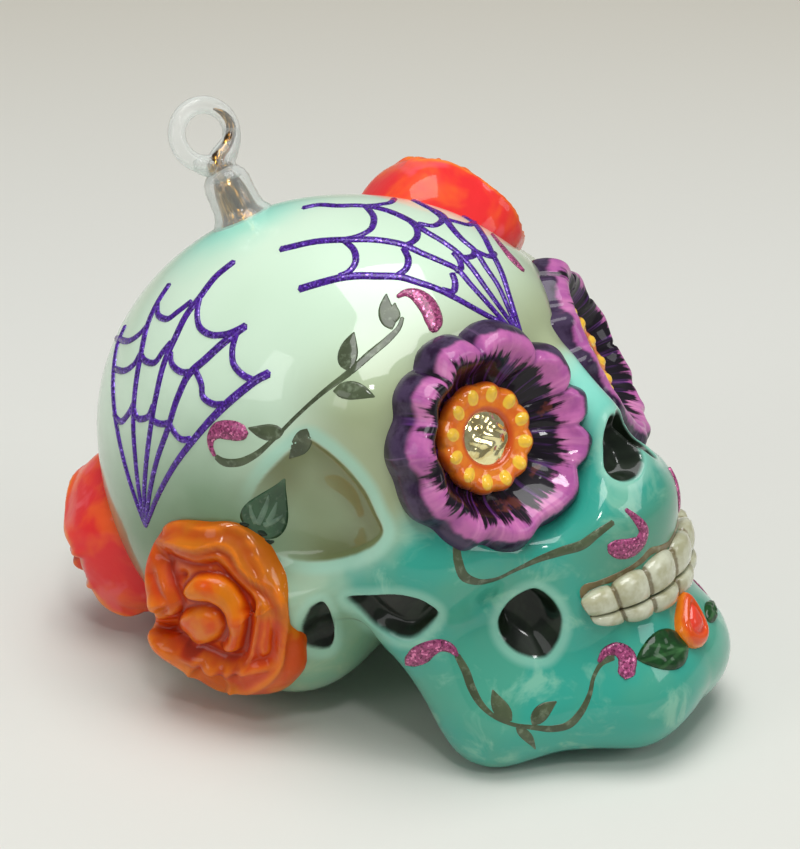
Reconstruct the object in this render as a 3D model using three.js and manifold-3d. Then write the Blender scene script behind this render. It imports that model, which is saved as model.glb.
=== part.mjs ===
// A hand-blown glass sugar skull ornament: a hollow skull with a silvered neck and a clear
// hanging loop on its crown, moulded flowers over the eyes with a mirror in the middle of
// each, roses round the head, two rows of teeth and a small rosebud on the chin.
//
// The skull is modelled level, with +X to its left, -Y to the front and +Z up, and the
// whole is then tipped back about X until it stands on its jaw and the back of its head.
// All lengths are millimetres.

import * as THREE from 'three';
import { mergeVertices } from 'three/addons/utils/BufferGeometryUtils.js';
import Module from 'manifold-3d';

const wasm = await Module();
wasm.setup();

// Sizes of the skull
const cranium = { halfWidth: 31, halfLength: 38, halfHeight: 33 };
const face = { halfWidth: 25, reach: 45, drop: 56 };
const glassWall = 1.2;
const seatGap = 0.3;
const footFlat = 0.4;

// Sizes of the hanger on the crown
const neck = { radius: 3.7, height: 8, flare: 1.5, flareRise: 2, shoulder: 1.8 };
const neckWall = 0.9;
const neckSetBack = 2.8;
const loop = { innerRadius: 3, rodRadius: 1.35, stemRadius: 2.3, rise: 13.6 };
loop.turn = THREE.MathUtils.degToRad(32);

// Sizes of what the skull carries
const eyeFlower = { radius: 15, crest: 3.2, floor: 1, depth: 14, lobes: 11, steps: 44 };
const eyeDisc = { radius: 7.6, thickness: 2.4, bore: 4, rim: 0.5, lobes: 12, steps: 24 };
const eyeMirror = { dome: 1, steps: 20 };
const eyeRise = { right: 7.39, left: 6.74 };
const rose = { height: 7.5, depth: 16, steps: 36 };
const roseRadius = { right: 13.3, back: 12, leftTemple: 11.6 };
const roseRise = { right: -0.59, back: 1.62, leftTemple: 0.46 };
const tooth = { height: 5.5, lowerHeight: 3.2, bulge: 1, gum: 0.5, lean: 1.7, back: 6, steps: 5 };
const toothRow = { halfWidth: 14.9, reach: 7.9, dip: 3.6, flare: 1.1, count: 6 };
toothRow.spread = THREE.MathUtils.degToRad(74);
const bud = { tall: 8, width: 5, height: 2, back: 5, steps: 20 };
const leaf = { span: 9, width: 5.4, height: 1.2, back: 5, steps: 20 };

// How finely each skin is divided, and the share of the wall that the hollow's coarser
// facets leave at least
const skullDetail = 13;
const hollowDetail = 6;
const leastWallShare = 0.75;

// The skull's form, as rounded masses joined by soft blends. Places and half sizes are
// shares of the cranium's or the face's own sizes, and pairs are given for one side.
const craniumScale = new THREE.Vector3(cranium.halfWidth, cranium.halfLength, cranium.halfHeight);
const faceScale = new THREE.Vector3(face.halfWidth, face.reach, face.drop);
const craniumShares = [
  { at: [0, 0.075, 0.01], size: [1, 1, 1], blend: 0.1 },
  { at: [0, -0.32, 0.04], size: [0.74, 0.58, 0.66], blend: 0.3 },
  { at: [0, 0.45, -0.33], size: [0.8, 0.59, 0.66], blend: 0.3 },
];
const faceShares = [
  { at: [0, -0.5, -0.36], size: [0.78, 0.38, 0.34], blend: 0.35 },
  { at: [0, -0.7, -0.45], size: [0.56, 0.3, 0.16], blend: 0.3 },
  { at: [0.8, -0.42, -0.35], size: [0.32, 0.22, 0.125], blend: 0.3 },
  { at: [0.8, 0.22, -0.44], size: [0.34, 0.24, 0.16], blend: 0.35 },
  { at: [0, -0.72, -0.89], size: [0.46, 0.19, 0.13], blend: 0.3 },
  { at: [0, -0.52, -0.64], size: [0.7, 0.365, 0.18], blend: 0.3 },
  { at: [0, -0.71, -0.78], size: [0.4, 0.15, 0.12], blend: 0.2 },
];
const barShares = [
  { from: [0.96, -0.44, -0.32], to: [1.12, 0.02, -0.31], radius: 0.066, blend: 0.25 },
  { from: [0.74, -0.38, -0.785], to: [0.36, -0.69, -0.89], radius: 0.125, blend: 0.3 },
  { from: [0.9, -0.29, -0.5], to: [0.78, -0.34, -0.79], radius: 0.1, blend: 0.3 },
  { from: [0.2, -0.62, 0.1], to: [0.84, -0.46, 0.1], radius: 0.07, blend: 0.3 },
  { from: [0.88, -0.42, 0.08], to: [0.92, -0.4, -0.3], radius: 0.105, blend: 0.3 },
  { from: [0, -0.7, 0.02], to: [0, -0.87, -0.2], radius: 0.04, blend: 0.15 },
];
const hollowShares = [
  { at: [0.74, -0.84, -0.12], size: [0.58, 0.26, 0.3], blend: 0.1 },
  { at: [0, -0.99, -0.32], size: [0.15, 0.15, 0.09], blend: 0.05 },
  { at: [1.44, -0.14, -0.115], size: [0.37, 0.33, 0.17], blend: 0.12 },
  { at: [0.92, -0.61, -0.59], size: [0.24, 0.115, 0.1], blend: 0.05 },
  { at: [1.14, 0.02, -0.4], size: [0.16, 0.06, 0.06], blend: 0.05 },
];
const grooveShares = [
  { from: [1.16, -0.25, -0.385], to: [1.12, -0.41, -0.44], radius: 0.058, blend: 0.07 },
  { from: [0, -0.89, -0.19], to: [0, -0.96, -0.28], radius: 0.034, blend: 0.05 },
];

// Rounded masses at their real places and sizes.
function massesFrom(shares, scale) {
  return shares.map(({ at, size, blend }) => ({
    at: new THREE.Vector3(...at).multiply(scale),
    size: new THREE.Vector3(...size).multiply(scale),
    blend: blend * scale.x,
  }));
}

// Round bars of the face at their real places and sizes.
function barsFrom(shares) {
  return shares.map(({ from, to, radius, blend }) => ({
    from: new THREE.Vector3(...from).multiply(faceScale),
    to: new THREE.Vector3(...to).multiply(faceScale),
    radius: radius * face.drop,
    blend: blend * face.halfWidth,
  }));
}

const solidMasses = [
  ...massesFrom(craniumShares, craniumScale),
  ...massesFrom(faceShares, faceScale),
];
const solidBars = barsFrom(barShares);
const hollows = massesFrom(hollowShares, faceScale);
const grooves = barsFrom(grooveShares);

// About how far a point lies outside a rounded mass.
function outsideMass(x, y, z, { at, size }) {
  const dx = x - at.x;
  const dy = y - at.y;
  const dz = z - at.z;
  const k0 = Math.hypot(dx / size.x, dy / size.y, dz / size.z);
  const k1 = Math.hypot(dx / size.x ** 2, dy / size.y ** 2, dz / size.z ** 2);
  return k1 === 0 ? -size.x : (k0 * (k0 - 1)) / k1;
}

// How far a point lies outside a round bar.
function outsideBar(x, y, z, { from, to, radius }) {
  const run = to.clone().sub(from);
  const p = new THREE.Vector3(x, y, z).sub(from);
  const share = THREE.MathUtils.clamp(p.dot(run) / run.lengthSq(), 0, 1);
  return p.addScaledVector(run, -share).length() - radius;
}

function softMin(a, b, blend) {
  const h = Math.max(blend - Math.abs(a - b), 0) / blend;
  return Math.min(a, b) - (h * h * blend) / 4;
}

// About how far a point lies outside the skull. Both halves are the same.
function outsideSkull(p) {
  const x = Math.abs(p.x);
  let d = Infinity;
  for (const mass of solidMasses) d = softMin(d, outsideMass(x, p.y, p.z, mass), mass.blend);
  for (const bar of solidBars) d = softMin(d, outsideBar(x, p.y, p.z, bar), bar.blend);
  for (const hollow of hollows) d = -softMin(-d, outsideMass(x, p.y, p.z, hollow), hollow.blend);
  for (const groove of grooves) d = -softMin(-d, outsideBar(x, p.y, p.z, groove), groove.blend);
  return d;
}

// Every ray starts at the core, in front of and below the cranium's middle, and passes
// through a point of a round guide that lies nearer the jaw, so the face gets finer facets.
const core = new THREE.Vector3(0, -0.31 * face.reach, -0.25 * face.drop);
const guideShare = 0.35;
const guideAim = new THREE.Vector3(0, -0.6, -0.8).multiplyScalar(guideShare);
const farOut = 2 * cranium.halfLength + face.drop;
const cautionShare = 0.7;
const closeShare = 1e-5;
const mergeDistance = 1e-4;

// How far along a ray from a place inside the skull's skin lies, moved out by a gap.
function skinAlong(direction, gap, origin = core) {
  const p = new THREE.Vector3();
  let far = farOut;
  for (let step = 0; step < 400; step += 1) {
    p.copy(origin).addScaledVector(direction, far);
    const left = outsideSkull(p) - gap;
    if (left < closeShare * farOut) break;
    far -= cautionShare * left;
  }
  return far;
}

// The point a rise above the skin, straight out from the core past a place given in shares
// of a scale.
function onSkin(at, scale, rise = 0) {
  const aim = new THREE.Vector3(...at).multiply(scale).sub(core).normalize();
  return aim.multiplyScalar(skinAlong(aim, 0) + rise).add(core);
}

function toSolid(geometry) {
  const bare = geometry.clone();
  bare.deleteAttribute('normal');
  bare.deleteAttribute('uv');
  const merged = mergeVertices(bare, mergeDistance);
  return new wasm.Manifold(
    new wasm.Mesh({
      numProp: 3,
      vertProperties: new Float32Array(merged.attributes.position.array),
      triVerts: new Uint32Array(merged.index.array),
    }),
  );
}

function toGeometry(solid) {
  const { vertProperties, triVerts, numProp } = solid.getMesh();
  const points = new Float32Array((vertProperties.length / numProp) * 3);
  for (let i = 0; i < points.length / 3; i += 1) {
    points.set(vertProperties.subarray(i * numProp, i * numProp + 3), i * 3);
  }
  const geometry = new THREE.BufferGeometry();
  geometry.setAttribute('position', new THREE.BufferAttribute(points, 3));
  geometry.setIndex(new THREE.BufferAttribute(triVerts, 1));
  return geometry;
}

// A closed skin round the core, a gap outside the skull's own.
function skin(detail, gap) {
  const sphere = new THREE.IcosahedronGeometry(1, detail);
  sphere.deleteAttribute('normal');
  sphere.deleteAttribute('uv');
  const geometry = mergeVertices(sphere, mergeDistance);
  const points = geometry.attributes.position;
  const direction = new THREE.Vector3();
  for (let i = 0; i < points.count; i += 1) {
    direction.fromBufferAttribute(points, i).normalize().add(guideAim).normalize();
    direction.multiplyScalar(skinAlong(direction, gap)).add(core);
    points.setXYZ(i, direction.x, direction.y, direction.z);
  }
  return geometry;
}

// Draws a coarse skin in towards the core wherever its facets leave less than a wall.
function drawIn(geometry, wall) {
  const points = geometry.attributes.position;
  const corners = geometry.index.array;
  const samples = [[1, 1, 1], [1, 1, 0], [0, 1, 1], [1, 0, 1]];
  for (let pass = 0; pass < 8; pass += 1) {
    const pull = new Float32Array(points.count);
    for (let i = 0; i < corners.length; i += 3) {
      const facet = corners.slice(i, i + 3);
      for (const weights of samples) {
        const middle = new THREE.Vector3();
        const whole = weights.reduce((a, b) => a + b);
        weights.forEach((weight, k) => {
          const corner = new THREE.Vector3().fromBufferAttribute(points, facet[k]);
          middle.addScaledVector(corner, weight / whole);
        });
        const lack = outsideSkull(middle) + wall;
        for (const corner of facet) pull[corner] = Math.max(pull[corner], lack);
      }
    }
    for (let i = 0; i < points.count; i += 1) {
      const point = new THREE.Vector3().fromBufferAttribute(points, i).sub(core);
      point.setLength(point.length() - pull[i]).add(core);
      points.setXYZ(i, point.x, point.y, point.z);
    }
  }
  return geometry;
}

// Joins rings of points, each closed and running the same way, into one closed skin. The
// first and last are single points.
function loft(rings) {
  const starts = [];
  let total = 0;
  for (const ring of rings) {
    starts.push(total);
    total += ring.length;
  }
  const faces = [];
  for (let k = 1; k < rings.length; k += 1) {
    const low = rings[k - 1].length;
    const high = rings[k].length;
    const count = Math.max(low, high);
    for (let i = 0; i < count; i += 1) {
      const j = (i + 1) % count;
      const a = starts[k - 1] + (i % low);
      const b = starts[k - 1] + (j % low);
      const c = starts[k] + (j % high);
      const d = starts[k] + (i % high);
      if (low > 1) faces.push(a, b, c);
      if (high > 1) faces.push(a, c, d);
    }
  }
  const geometry = new THREE.BufferGeometry().setFromPoints(rings.flat());
  geometry.setIndex(faces);
  return geometry;
}

function turns(steps, at) {
  return Array.from({ length: steps }, (_, i) => at((2 * Math.PI * i) / steps));
}

// Rounded lobes with a sharp fold between each and the next, from 1 at a lobe to -1.
function lobed(angle, lobes, turn = 0) {
  return 2 * Math.abs(Math.cos((lobes * angle) / 2 + turn)) - 1;
}

// The frame of a piece at a place, facing outwards: turned from the front, then tilted up,
// then spun about its own axis.
function facing(place, yaw, tilt, spin) {
  const out = new THREE.Vector3(
    Math.sin(yaw) * Math.cos(tilt),
    -Math.cos(yaw) * Math.cos(tilt),
    Math.sin(tilt),
  );
  const across = new THREE.Vector3(Math.cos(yaw), Math.sin(yaw), 0);
  const up = new THREE.Vector3().crossVectors(out, across);
  const frame = new THREE.Matrix4().makeBasis(across, up, out);
  frame.multiply(new THREE.Matrix4().makeRotationZ(spin));
  return frame.setPosition(place);
}

// The same from a seat whose place is in shares of a scale and whose angles are in degrees.
function placed({ at, yaw, tilt, spin = 0 }, scale) {
  const angles = [yaw, tilt, spin].map(THREE.MathUtils.degToRad);
  return facing(new THREE.Vector3(...at).multiply(scale), ...angles);
}

// The skull's skin, and the one that its pieces are cut back to.
const outerSkin = skin(skullDetail, 0);
const seatSkin = skin(skullDetail, seatGap);

// The lowest point of the tipped skin in front of or behind the cranium's middle.
function lowest(pitch, side) {
  const points = outerSkin.attributes.position;
  const found = new THREE.Vector3(0, 0, Infinity);
  const tip = new THREE.Matrix4().makeRotationX(-pitch);
  const point = new THREE.Vector3();
  for (let i = 0; i < points.count; i += 1) {
    point.fromBufferAttribute(points, i);
    if (point.y * side < 0) continue;
    point.applyMatrix4(tip);
    if (point.z < found.z) found.copy(point);
  }
  return found;
}

// The skull is tipped back until its jaw and the back of its head reach the floor together.
let pitch = Math.PI / 6;
for (let step = 0; step < 8; step += 1) {
  const jaw = lowest(pitch, -1);
  const back = lowest(pitch, 1);
  pitch += Math.atan2(back.z - jaw.z, back.y - jaw.y);
}
const ornament = new THREE.Group();
ornament.rotation.x = -pitch;
ornament.position.z = -lowest(pitch, -1).z - footFlat;
ornament.updateMatrix();

function add(name, solid, colour, roughness, metalness = 0, frame = new THREE.Matrix4()) {
  const material = new THREE.MeshStandardMaterial({ color: colour, roughness, metalness });
  const mesh = new THREE.Mesh(toGeometry(solid), material);
  mesh.name = name;
  mesh.applyMatrix4(frame);
  ornament.add(mesh);
}

// What a piece in a given frame has to keep clear of: the skull and its seat gap.
function skullSeat(frame) {
  return toSolid(seatSkin.clone().applyMatrix4(frame.clone().invert()));
}

// The floor that the ornament stands on, in a piece's own frame.
function floorBlock(frame) {
  const block = new THREE.BoxGeometry(2 * farOut, 2 * farOut, farOut);
  block.translate(0, 0, -farOut / 2);
  const toFrame = ornament.matrix.clone().multiply(frame).invert();
  return toSolid(block.applyMatrix4(toFrame));
}

// The frame of the neck, upright on the crown.
const neckFrame = new THREE.Matrix4().makeTranslation(0, neckSetBack, cranium.halfHeight);

// The neck's outside, or the tool that keeps a gap from it.
function neckOutline(gap) {
  const side = neck.radius + gap;
  const top = neck.height + gap;
  const bend = neck.flareRise / 2;
  return [
    [0, -neck.height],
    [side + neck.flare, -neck.height],
    [side + neck.flare, -bend / 2],
    [side + neck.flare / 2, bend / 4],
    [side + neck.flare / 6, bend],
    [side, neck.flareRise],
    [side, top - neck.shoulder],
    [side - neck.shoulder * 0.13, top - neck.shoulder / 2],
    [side - neck.shoulder / 2, top - neck.shoulder * 0.13],
    [side - neck.shoulder, top],
    [0, top],
  ];
}

function turned(outline, segments) {
  const points = outline.map(([x, y]) => new THREE.Vector2(x, y));
  return new THREE.LatheGeometry(points, segments).rotateX(Math.PI / 2);
}

function makeShell() {
  const outer = toSolid(outerSkin);
  const hollow = toSolid(drawIn(skin(hollowDetail, -glassWall), leastWallShare * glassWall));
  const radius = neck.radius - neckWall;
  const bore = new THREE.CylinderGeometry(radius, radius, 2 * neck.height, 24);
  bore.rotateX(Math.PI / 2).applyMatrix4(neckFrame);
  const floor = floorBlock(new THREE.Matrix4());
  return outer.subtract(floor).subtract(hollow).subtract(toSolid(bore));
}

function makeNeck() {
  const bore = neck.radius - neckWall;
  const roof = neck.height - neckWall;
  const inside = turned(
    [
      [0, -2 * neck.height],
      [bore, -2 * neck.height],
      [bore, roof - neck.shoulder],
      [bore / 2, roof - neck.shoulder / 4],
      [0, roof],
    ],
    24,
  );
  const outside = toSolid(turned(neckOutline(0), 28));
  return outside.subtract(toSolid(inside)).subtract(skullSeat(neckFrame));
}

// A round rod along a curve, with its own radius at each station.
function rod(curve, radii, sides) {
  const frames = curve.computeFrenetFrames(radii.length - 1);
  const rings = radii.map((radius, k) => {
    const middle = curve.getPointAt(k / (radii.length - 1));
    return turns(sides, (angle) =>
      middle
        .clone()
        .addScaledVector(frames.normals[k], radius * Math.cos(angle))
        .addScaledVector(frames.binormals[k], radius * Math.sin(angle)),
    );
  });
  return loft([[curve.getPointAt(0)], ...rings, [curve.getPointAt(1)]]);
}

function makeLoop() {
  const ringRadius = loop.innerRadius + loop.rodRadius;
  const ring = new THREE.TorusGeometry(ringRadius, loop.rodRadius, 9, 30);
  ring.rotateX(Math.PI / 2).translate(0, 0, loop.rise);
  const stem = new THREE.CatmullRomCurve3([
    new THREE.Vector3(0, 0, neck.height - neck.shoulder),
    new THREE.Vector3(ringRadius * 0.12, 0, neck.height + loop.rodRadius / 2),
    new THREE.Vector3(ringRadius * 0.55, 0, loop.rise - ringRadius * 0.84),
    new THREE.Vector3(ringRadius * 0.96, 0, loop.rise - ringRadius * 0.28),
  ]);
  const radiusShares = [1, 0.96, 0.86, 0.74, 0.66, 0.62];
  const stemRod = rod(stem, radiusShares.map((share) => share * loop.stemRadius), 11);
  const tip = new THREE.SphereGeometry(loop.rodRadius * 1.12, 10, 7);
  tip.rotateX(Math.PI / 2).translate(-ringRadius * 0.46, 0, loop.rise - ringRadius * 0.96);
  const solid = toSolid(ring).add(toSolid(stemRod)).add(toSolid(tip));
  return solid.subtract(toSolid(turned(neckOutline(seatGap), 28)));
}

// The eye flower's rings, from its root outwards, up the wall, over the crest and down to
// the floor. Radii are shares of the flower's, and heights of its crest and floor.
const petalShares = [
  { radius: 1, lobe: 0.03, crest: 0, floor: 0, depth: 1 },
  { radius: 1.05, lobe: 0.04, crest: 0, floor: 4, depth: 0 },
  { radius: 1.03, lobe: 0.06, crest: 0, floor: 0.6, depth: 0 },
  { radius: 1, lobe: 0.07, crest: 0.6, floor: 0, depth: 0 },
  { radius: 0.93, lobe: 0.07, crest: 1, floor: 0, depth: 0 },
  { radius: 0.84, lobe: 0.05, crest: 0.94, floor: 0, depth: 0 },
  { radius: 0.72, lobe: 0.03, crest: 0.35, floor: 0, depth: 0 },
  { radius: 0.54, lobe: 0, crest: 0, floor: 1, depth: 0 },
];
const waveShare = 0.12;
const eyeShares = {
  right: { at: [-0.68, -0.72, -0.096], yaw: -24, tilt: -3, shift: [0.09, -0.05] },
  left: { at: [0.68, -0.705, -0.096], yaw: 24, tilt: 4, shift: [-0.08, -0.07] },
};

function makePetals(shift, frame) {
  const { radius, crest, floor, depth, lobes, steps } = eyeFlower;
  const rings = petalShares.map((share) =>
    turns(steps, (angle) => {
      const wave = lobed(angle, lobes);
      const r = radius * share.radius * (1 + share.lobe * wave);
      const z = crest * share.crest * (1 + waveShare * wave) - floor * share.floor - depth * share.depth;
      const slide = radius * THREE.MathUtils.smoothstep(share.radius, 0.5, 0.8);
      return new THREE.Vector3(
        r * Math.cos(angle) + slide * shift[0],
        r * Math.sin(angle) + slide * shift[1],
        z,
      );
    }),
  );
  const root = new THREE.Vector3(radius * shift[0], radius * shift[1], -depth);
  const middle = new THREE.Vector3(0, 0, -floor);
  const seatRadius = eyeDisc.radius + seatGap;
  const seat = new THREE.CylinderGeometry(
    seatRadius,
    seatRadius,
    2 * eyeDisc.thickness,
    eyeDisc.steps,
  );
  seat.rotateX(Math.PI / 2).translate(0, 0, eyeDisc.rim);
  return toSolid(loft([[root], ...rings, [middle]]))
    .subtract(toSolid(seat))
    .subtract(skullSeat(frame));
}

function makeDisc() {
  const { radius, thickness, bore, rim, lobes, steps } = eyeDisc;
  const under = rim - thickness + seatGap;
  const outline = [
    [radius * 0.95, under, 0.03],
    [radius * 0.97, -rim, 0.03],
    [radius * 0.92, rim, 0.03],
    [radius * 0.8, 1.6 * rim, 0.03],
    [radius * 0.64, 1.4 * rim, 0],
  ];
  const rings = outline.map(([r, z, lobe]) =>
    turns(steps, (angle) => {
      const radiusHere = r * (1 + lobe * lobed(angle, lobes));
      return new THREE.Vector3(radiusHere * Math.cos(angle), radiusHere * Math.sin(angle), z);
    }),
  );
  const hole = new THREE.CylinderGeometry(bore, bore, 4 * thickness, steps).rotateX(Math.PI / 2);
  const body = loft([[new THREE.Vector3(0, 0, under)], ...rings, [new THREE.Vector3(0, 0, rim)]]);
  return toSolid(body).subtract(toSolid(hole));
}

function makeMirror() {
  const { thickness, bore, rim } = eyeDisc;
  const under = rim - thickness + seatGap;
  const radius = bore - seatGap;
  return toSolid(
    turned(
      [
        [0, under],
        [radius, under],
        [radius, 0],
        [radius * 0.87, eyeMirror.dome * 0.36],
        [radius * 0.6, eyeMirror.dome * 0.76],
        [radius * 0.3, eyeMirror.dome * 0.95],
        [0, eyeMirror.dome],
      ],
      eyeMirror.steps,
    ),
  );
}

// A rose's rings, from its root outwards and then in over its petals, crest after valley.
// Radii and shifts are shares of the rose's radius, and heights of its height.
const roseShares = [
  { radius: 0.88, lobe: 0.02, height: 0, lift: 0, lobes: 5, turn: 0, shift: 0, depth: 1 },
  { radius: 0.99, lobe: 0.05, height: 0.1, lift: 0, lobes: 5, turn: 0, shift: 0, depth: 0 },
  { radius: 0.99, lobe: 0.06, height: 0.32, lift: 0.05, lobes: 5, turn: 0, shift: 0, depth: 0 },
  { radius: 0.88, lobe: 0.06, height: 0.52, lift: 0.06, lobes: 5, turn: 0, shift: 0, depth: 0 },
  { radius: 0.79, lobe: 0.05, height: 0.36, lift: 0, lobes: 5, turn: 0.6, shift: 0, depth: 0 },
  { radius: 0.72, lobe: 0.09, height: 0.74, lift: 0.06, lobes: 5, turn: 1.1, shift: 1, depth: 0 },
  { radius: 0.59, lobe: 0.05, height: 0.6, lift: 0, lobes: 5, turn: 1.3, shift: 1, depth: 0 },
  { radius: 0.48, lobe: 0.1, height: 0.92, lift: 0.05, lobes: 3, turn: 0.4, shift: 2, depth: 0 },
  { radius: 0.36, lobe: 0.05, height: 0.72, lift: 0, lobes: 3, turn: 0.6, shift: 2, depth: 0 },
  { radius: 0.22, lobe: 0.08, height: 1, lift: 0.04, lobes: 3, turn: 1.2, shift: 1, depth: 0 },
];
const roseShiftShare = 0.03;

function makeRose(radius, stretch, frame) {
  const { height, depth, steps } = rose;
  const rings = roseShares.map((share) =>
    turns(steps, (angle) => {
      const wave = lobed(angle, share.lobes, share.turn);
      const r = radius * share.radius * (1 + share.lobe * wave);
      return new THREE.Vector3(
        r * Math.cos(angle) + radius * roseShiftShare * share.shift,
        (r * Math.sin(angle) - radius * roseShiftShare * share.shift) * stretch,
        height * (share.height + share.lift * wave) - depth * share.depth,
      );
    }),
  );
  const root = new THREE.Vector3(0, 0, -depth);
  const heart = new THREE.Vector3(radius * roseShiftShare, 0, height * 0.86);
  const body = toSolid(loft([[root], ...rings, [heart]]));
  return body.subtract(skullSeat(frame)).subtract(floorBlock(frame));
}

// The roses' seats: the right one's place is in shares of the face, and the others' of the
// cranium.
const roseSeatShares = {
  right: { at: [-1.116, 0.304, -0.2888], yaw: -104, tilt: -14, spin: 0, stretch: 1.1 },
  back: { at: [-0.24, 1.12, -0.2], yaw: -166, tilt: -10, spin: 40, stretch: 1 },
  leftTemple: { at: [0.72, -0.38, 0.58], yaw: 66, tilt: 34, spin: 20, stretch: 1 },
};
// A row of teeth on an arch round the front of the mouth, up or down from a bite that dips
// at the front. It follows the skull's skin at the bite, and stands a little off it at the
// sides. Each tooth is a rounded pad, and the front ones are the tallest.
const biteShares = new THREE.Vector3(0, -0.725, -0.605);
const endShare = 0.45;
function makeTeeth(way, height) {
  const { bulge, gum, lean, back, steps } = tooth;
  const { halfWidth, reach, dip, flare, count, spread } = toothRow;
  const slant = way > 0 ? lean : -lean / 2;
  const stations = count * steps;
  const rings = [];
  for (let k = 0; k <= stations; k += 1) {
    const share = k / stations;
    const angle = spread * (2 * share - 1);
    const front = Math.cos(angle);
    const pad = Math.sqrt(Math.abs(Math.sin(Math.PI * share * count)));
    const out = new THREE.Vector3(Math.sin(angle), -front, 0);
    const inside = biteShares.clone().multiply(faceScale);
    inside.z -= dip * front;
    const aim = new THREE.Vector3(halfWidth * Math.sin(angle), -reach * front, 0).normalize();
    const foot = inside.clone().addScaledVector(aim, skinAlong(aim, 0, inside));
    foot.addScaledVector(aim, flare * Math.sqrt(1 - front));
    foot.z += (way * seatGap) / 2;
    const rise = way * height * THREE.MathUtils.lerp(endShare, 1, front) * (0.84 + 0.16 * pad);
    const place = (o, u) =>
      foot
        .clone()
        .addScaledVector(out, o + slant * u)
        .add(new THREE.Vector3(0, 0, rise * u));
    const ring = [
      place(-back, 0),
      place(gum / 2, 0),
      place(gum + bulge * pad * 0.8, 0.12),
      place(gum + bulge * pad, 0.45),
      place(gum + bulge * pad * 0.7, 0.86),
      place(0, 1),
      place(-back, 1),
    ];
    rings.push(way > 0 ? ring.reverse() : ring);
  }
  const body = loft([[centreOf(rings[0])], ...rings, [centreOf(rings.at(-1))]]);
  return toSolid(body).subtract(skullSeat(new THREE.Matrix4()));
}

function centreOf(ring) {
  const sum = ring.reduce((total, point) => total.add(point), new THREE.Vector3());
  return sum.divideScalar(ring.length);
}

// The seats of the rosebud and its leaves, on the skin straight out from their places.
const chinShares = {
  bud: { at: [0, -0.9, -0.79], yaw: 0, tilt: 6, spin: -27 },
  leaf_right: { at: [-0.33, -0.871, -0.8], yaw: -21, tilt: 12, spin: 165 },
  leaf_left: { at: [0.32, -0.871, -0.8], yaw: 21, tilt: 12, spin: 10 },
};
const onChin = (seat) => placed(seat, faceScale).setPosition(onSkin(seat.at, faceScale));
const budFrame = onChin(chinShares.bud);

// The chin's rosebud, a teardrop that is narrow at the top, or the tool that keeps a gap
// from it.
function budForm(gap) {
  const { tall, width, height, back, steps } = bud;
  const levels = [
    [1, -back],
    [1, height * 0.45],
    [0.9, height * 0.8],
    [0.62, height],
    [0.5, height * 0.82],
    [0.24, height * 1.04],
  ];
  const rings = levels.map(([share, z]) =>
    turns(steps, (angle) => {
      const taper = 1 - 0.34 * Math.sin(angle);
      const x = (width / 2) * share * Math.cos(angle) * taper;
      const y = (tall / 2) * share * Math.sin(angle);
      const out = new THREE.Vector2(x, y);
      out.setLength(out.length() + gap);
      return new THREE.Vector3(out.x, out.y, z);
    }),
  );
  const root = new THREE.Vector3(0, 0, -back);
  const top = new THREE.Vector3(0, 0, height);
  return loft([[root], ...rings, [top]]);
}

// A leaf that is pointed at both ends, with a groove along its middle.
function makeLeaf(frame) {
  const { span, width, height, back, steps } = leaf;
  const levels = [
    [1, -back],
    [1, height * 0.4],
    [0.82, height * 0.9],
    [0.5, height],
    [0.18, height * 0.9],
  ];
  const rings = levels.map(([share, z]) =>
    turns(steps, (angle) => {
      const point = Math.cos(angle);
      const side = Math.sin(angle);
      return new THREE.Vector3(
        (span / 2) * share * point,
        (width / 2) * share * side * Math.abs(side) ** 0.5 * (1 - 0.25 * point),
        z,
      );
    }),
  );
  const root = new THREE.Vector3(0, 0, -back);
  const middle = new THREE.Vector3(0, 0, height * 0.75);
  const toLeaf = frame.clone().invert().multiply(budFrame);
  return toSolid(loft([[root], ...rings, [middle]]))
    .subtract(toSolid(budForm(seatGap).applyMatrix4(toLeaf)))
    .subtract(skullSeat(frame));
}

add('skull_shell', makeShell(), 0x7fd6c4, 0.12);
add('hanger_neck', makeNeck(), 0xb9a067, 0.15, 1, neckFrame);
const loopFrame = neckFrame.clone().multiply(new THREE.Matrix4().makeRotationZ(-loop.turn));
add('hanger_loop', makeLoop(), 0xe6e6e0, 0.05, 0, loopFrame);
for (const [hand, eye] of Object.entries(eyeShares)) {
  const frame = placed(eye, faceScale).setPosition(onSkin(eye.at, faceScale, eyeRise[hand]));
  add(`eye_petals_${hand}`, makePetals(eye.shift, frame), 0x9a4fa0, 0.15, 0, frame);
  add(`eye_disc_${hand}`, makeDisc(), 0xf28a1e, 0.18, 0, frame);
  add(`eye_mirror_${hand}`, makeMirror(), 0xd8cf8a, 0.1, 1, frame);
}
const rosePlaces = [
  ['rose_right', 'right', faceScale],
  ['rose_back', 'back', craniumScale],
  ['rose_left_temple', 'leftTemple', craniumScale],
];
for (const [name, place, scale] of rosePlaces) {
  const seat = roseSeatShares[place];
  const frame = placed(seat, scale).setPosition(onSkin(seat.at, scale, roseRise[place]));
  add(name, makeRose(roseRadius[place], seat.stretch, frame), 0xf26a2a, 0.15, 0, frame);
}
add('upper_teeth', makeTeeth(1, tooth.height), 0xdad6c0, 0.2);
add('lower_teeth', makeTeeth(-1, tooth.lowerHeight), 0xdad6c0, 0.2);
const rosebud = toSolid(budForm(0)).subtract(skullSeat(budFrame));
add('chin_rosebud', rosebud, 0xf2662a, 0.15, 0, budFrame);
for (const hand of ['right', 'left']) {
  const frame = onChin(chinShares[`leaf_${hand}`]);
  add(`chin_leaf_${hand}`, makeLeaf(frame), 0x2f6b3a, 0.15, 0, frame);
}

// The origin is under the middle of the whole, on the floor.
const middle = new THREE.Box3().setFromObject(ornament, true).getCenter(new THREE.Vector3());
ornament.position.x -= middle.x;
ornament.position.y -= middle.y;

export default ornament;
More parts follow.
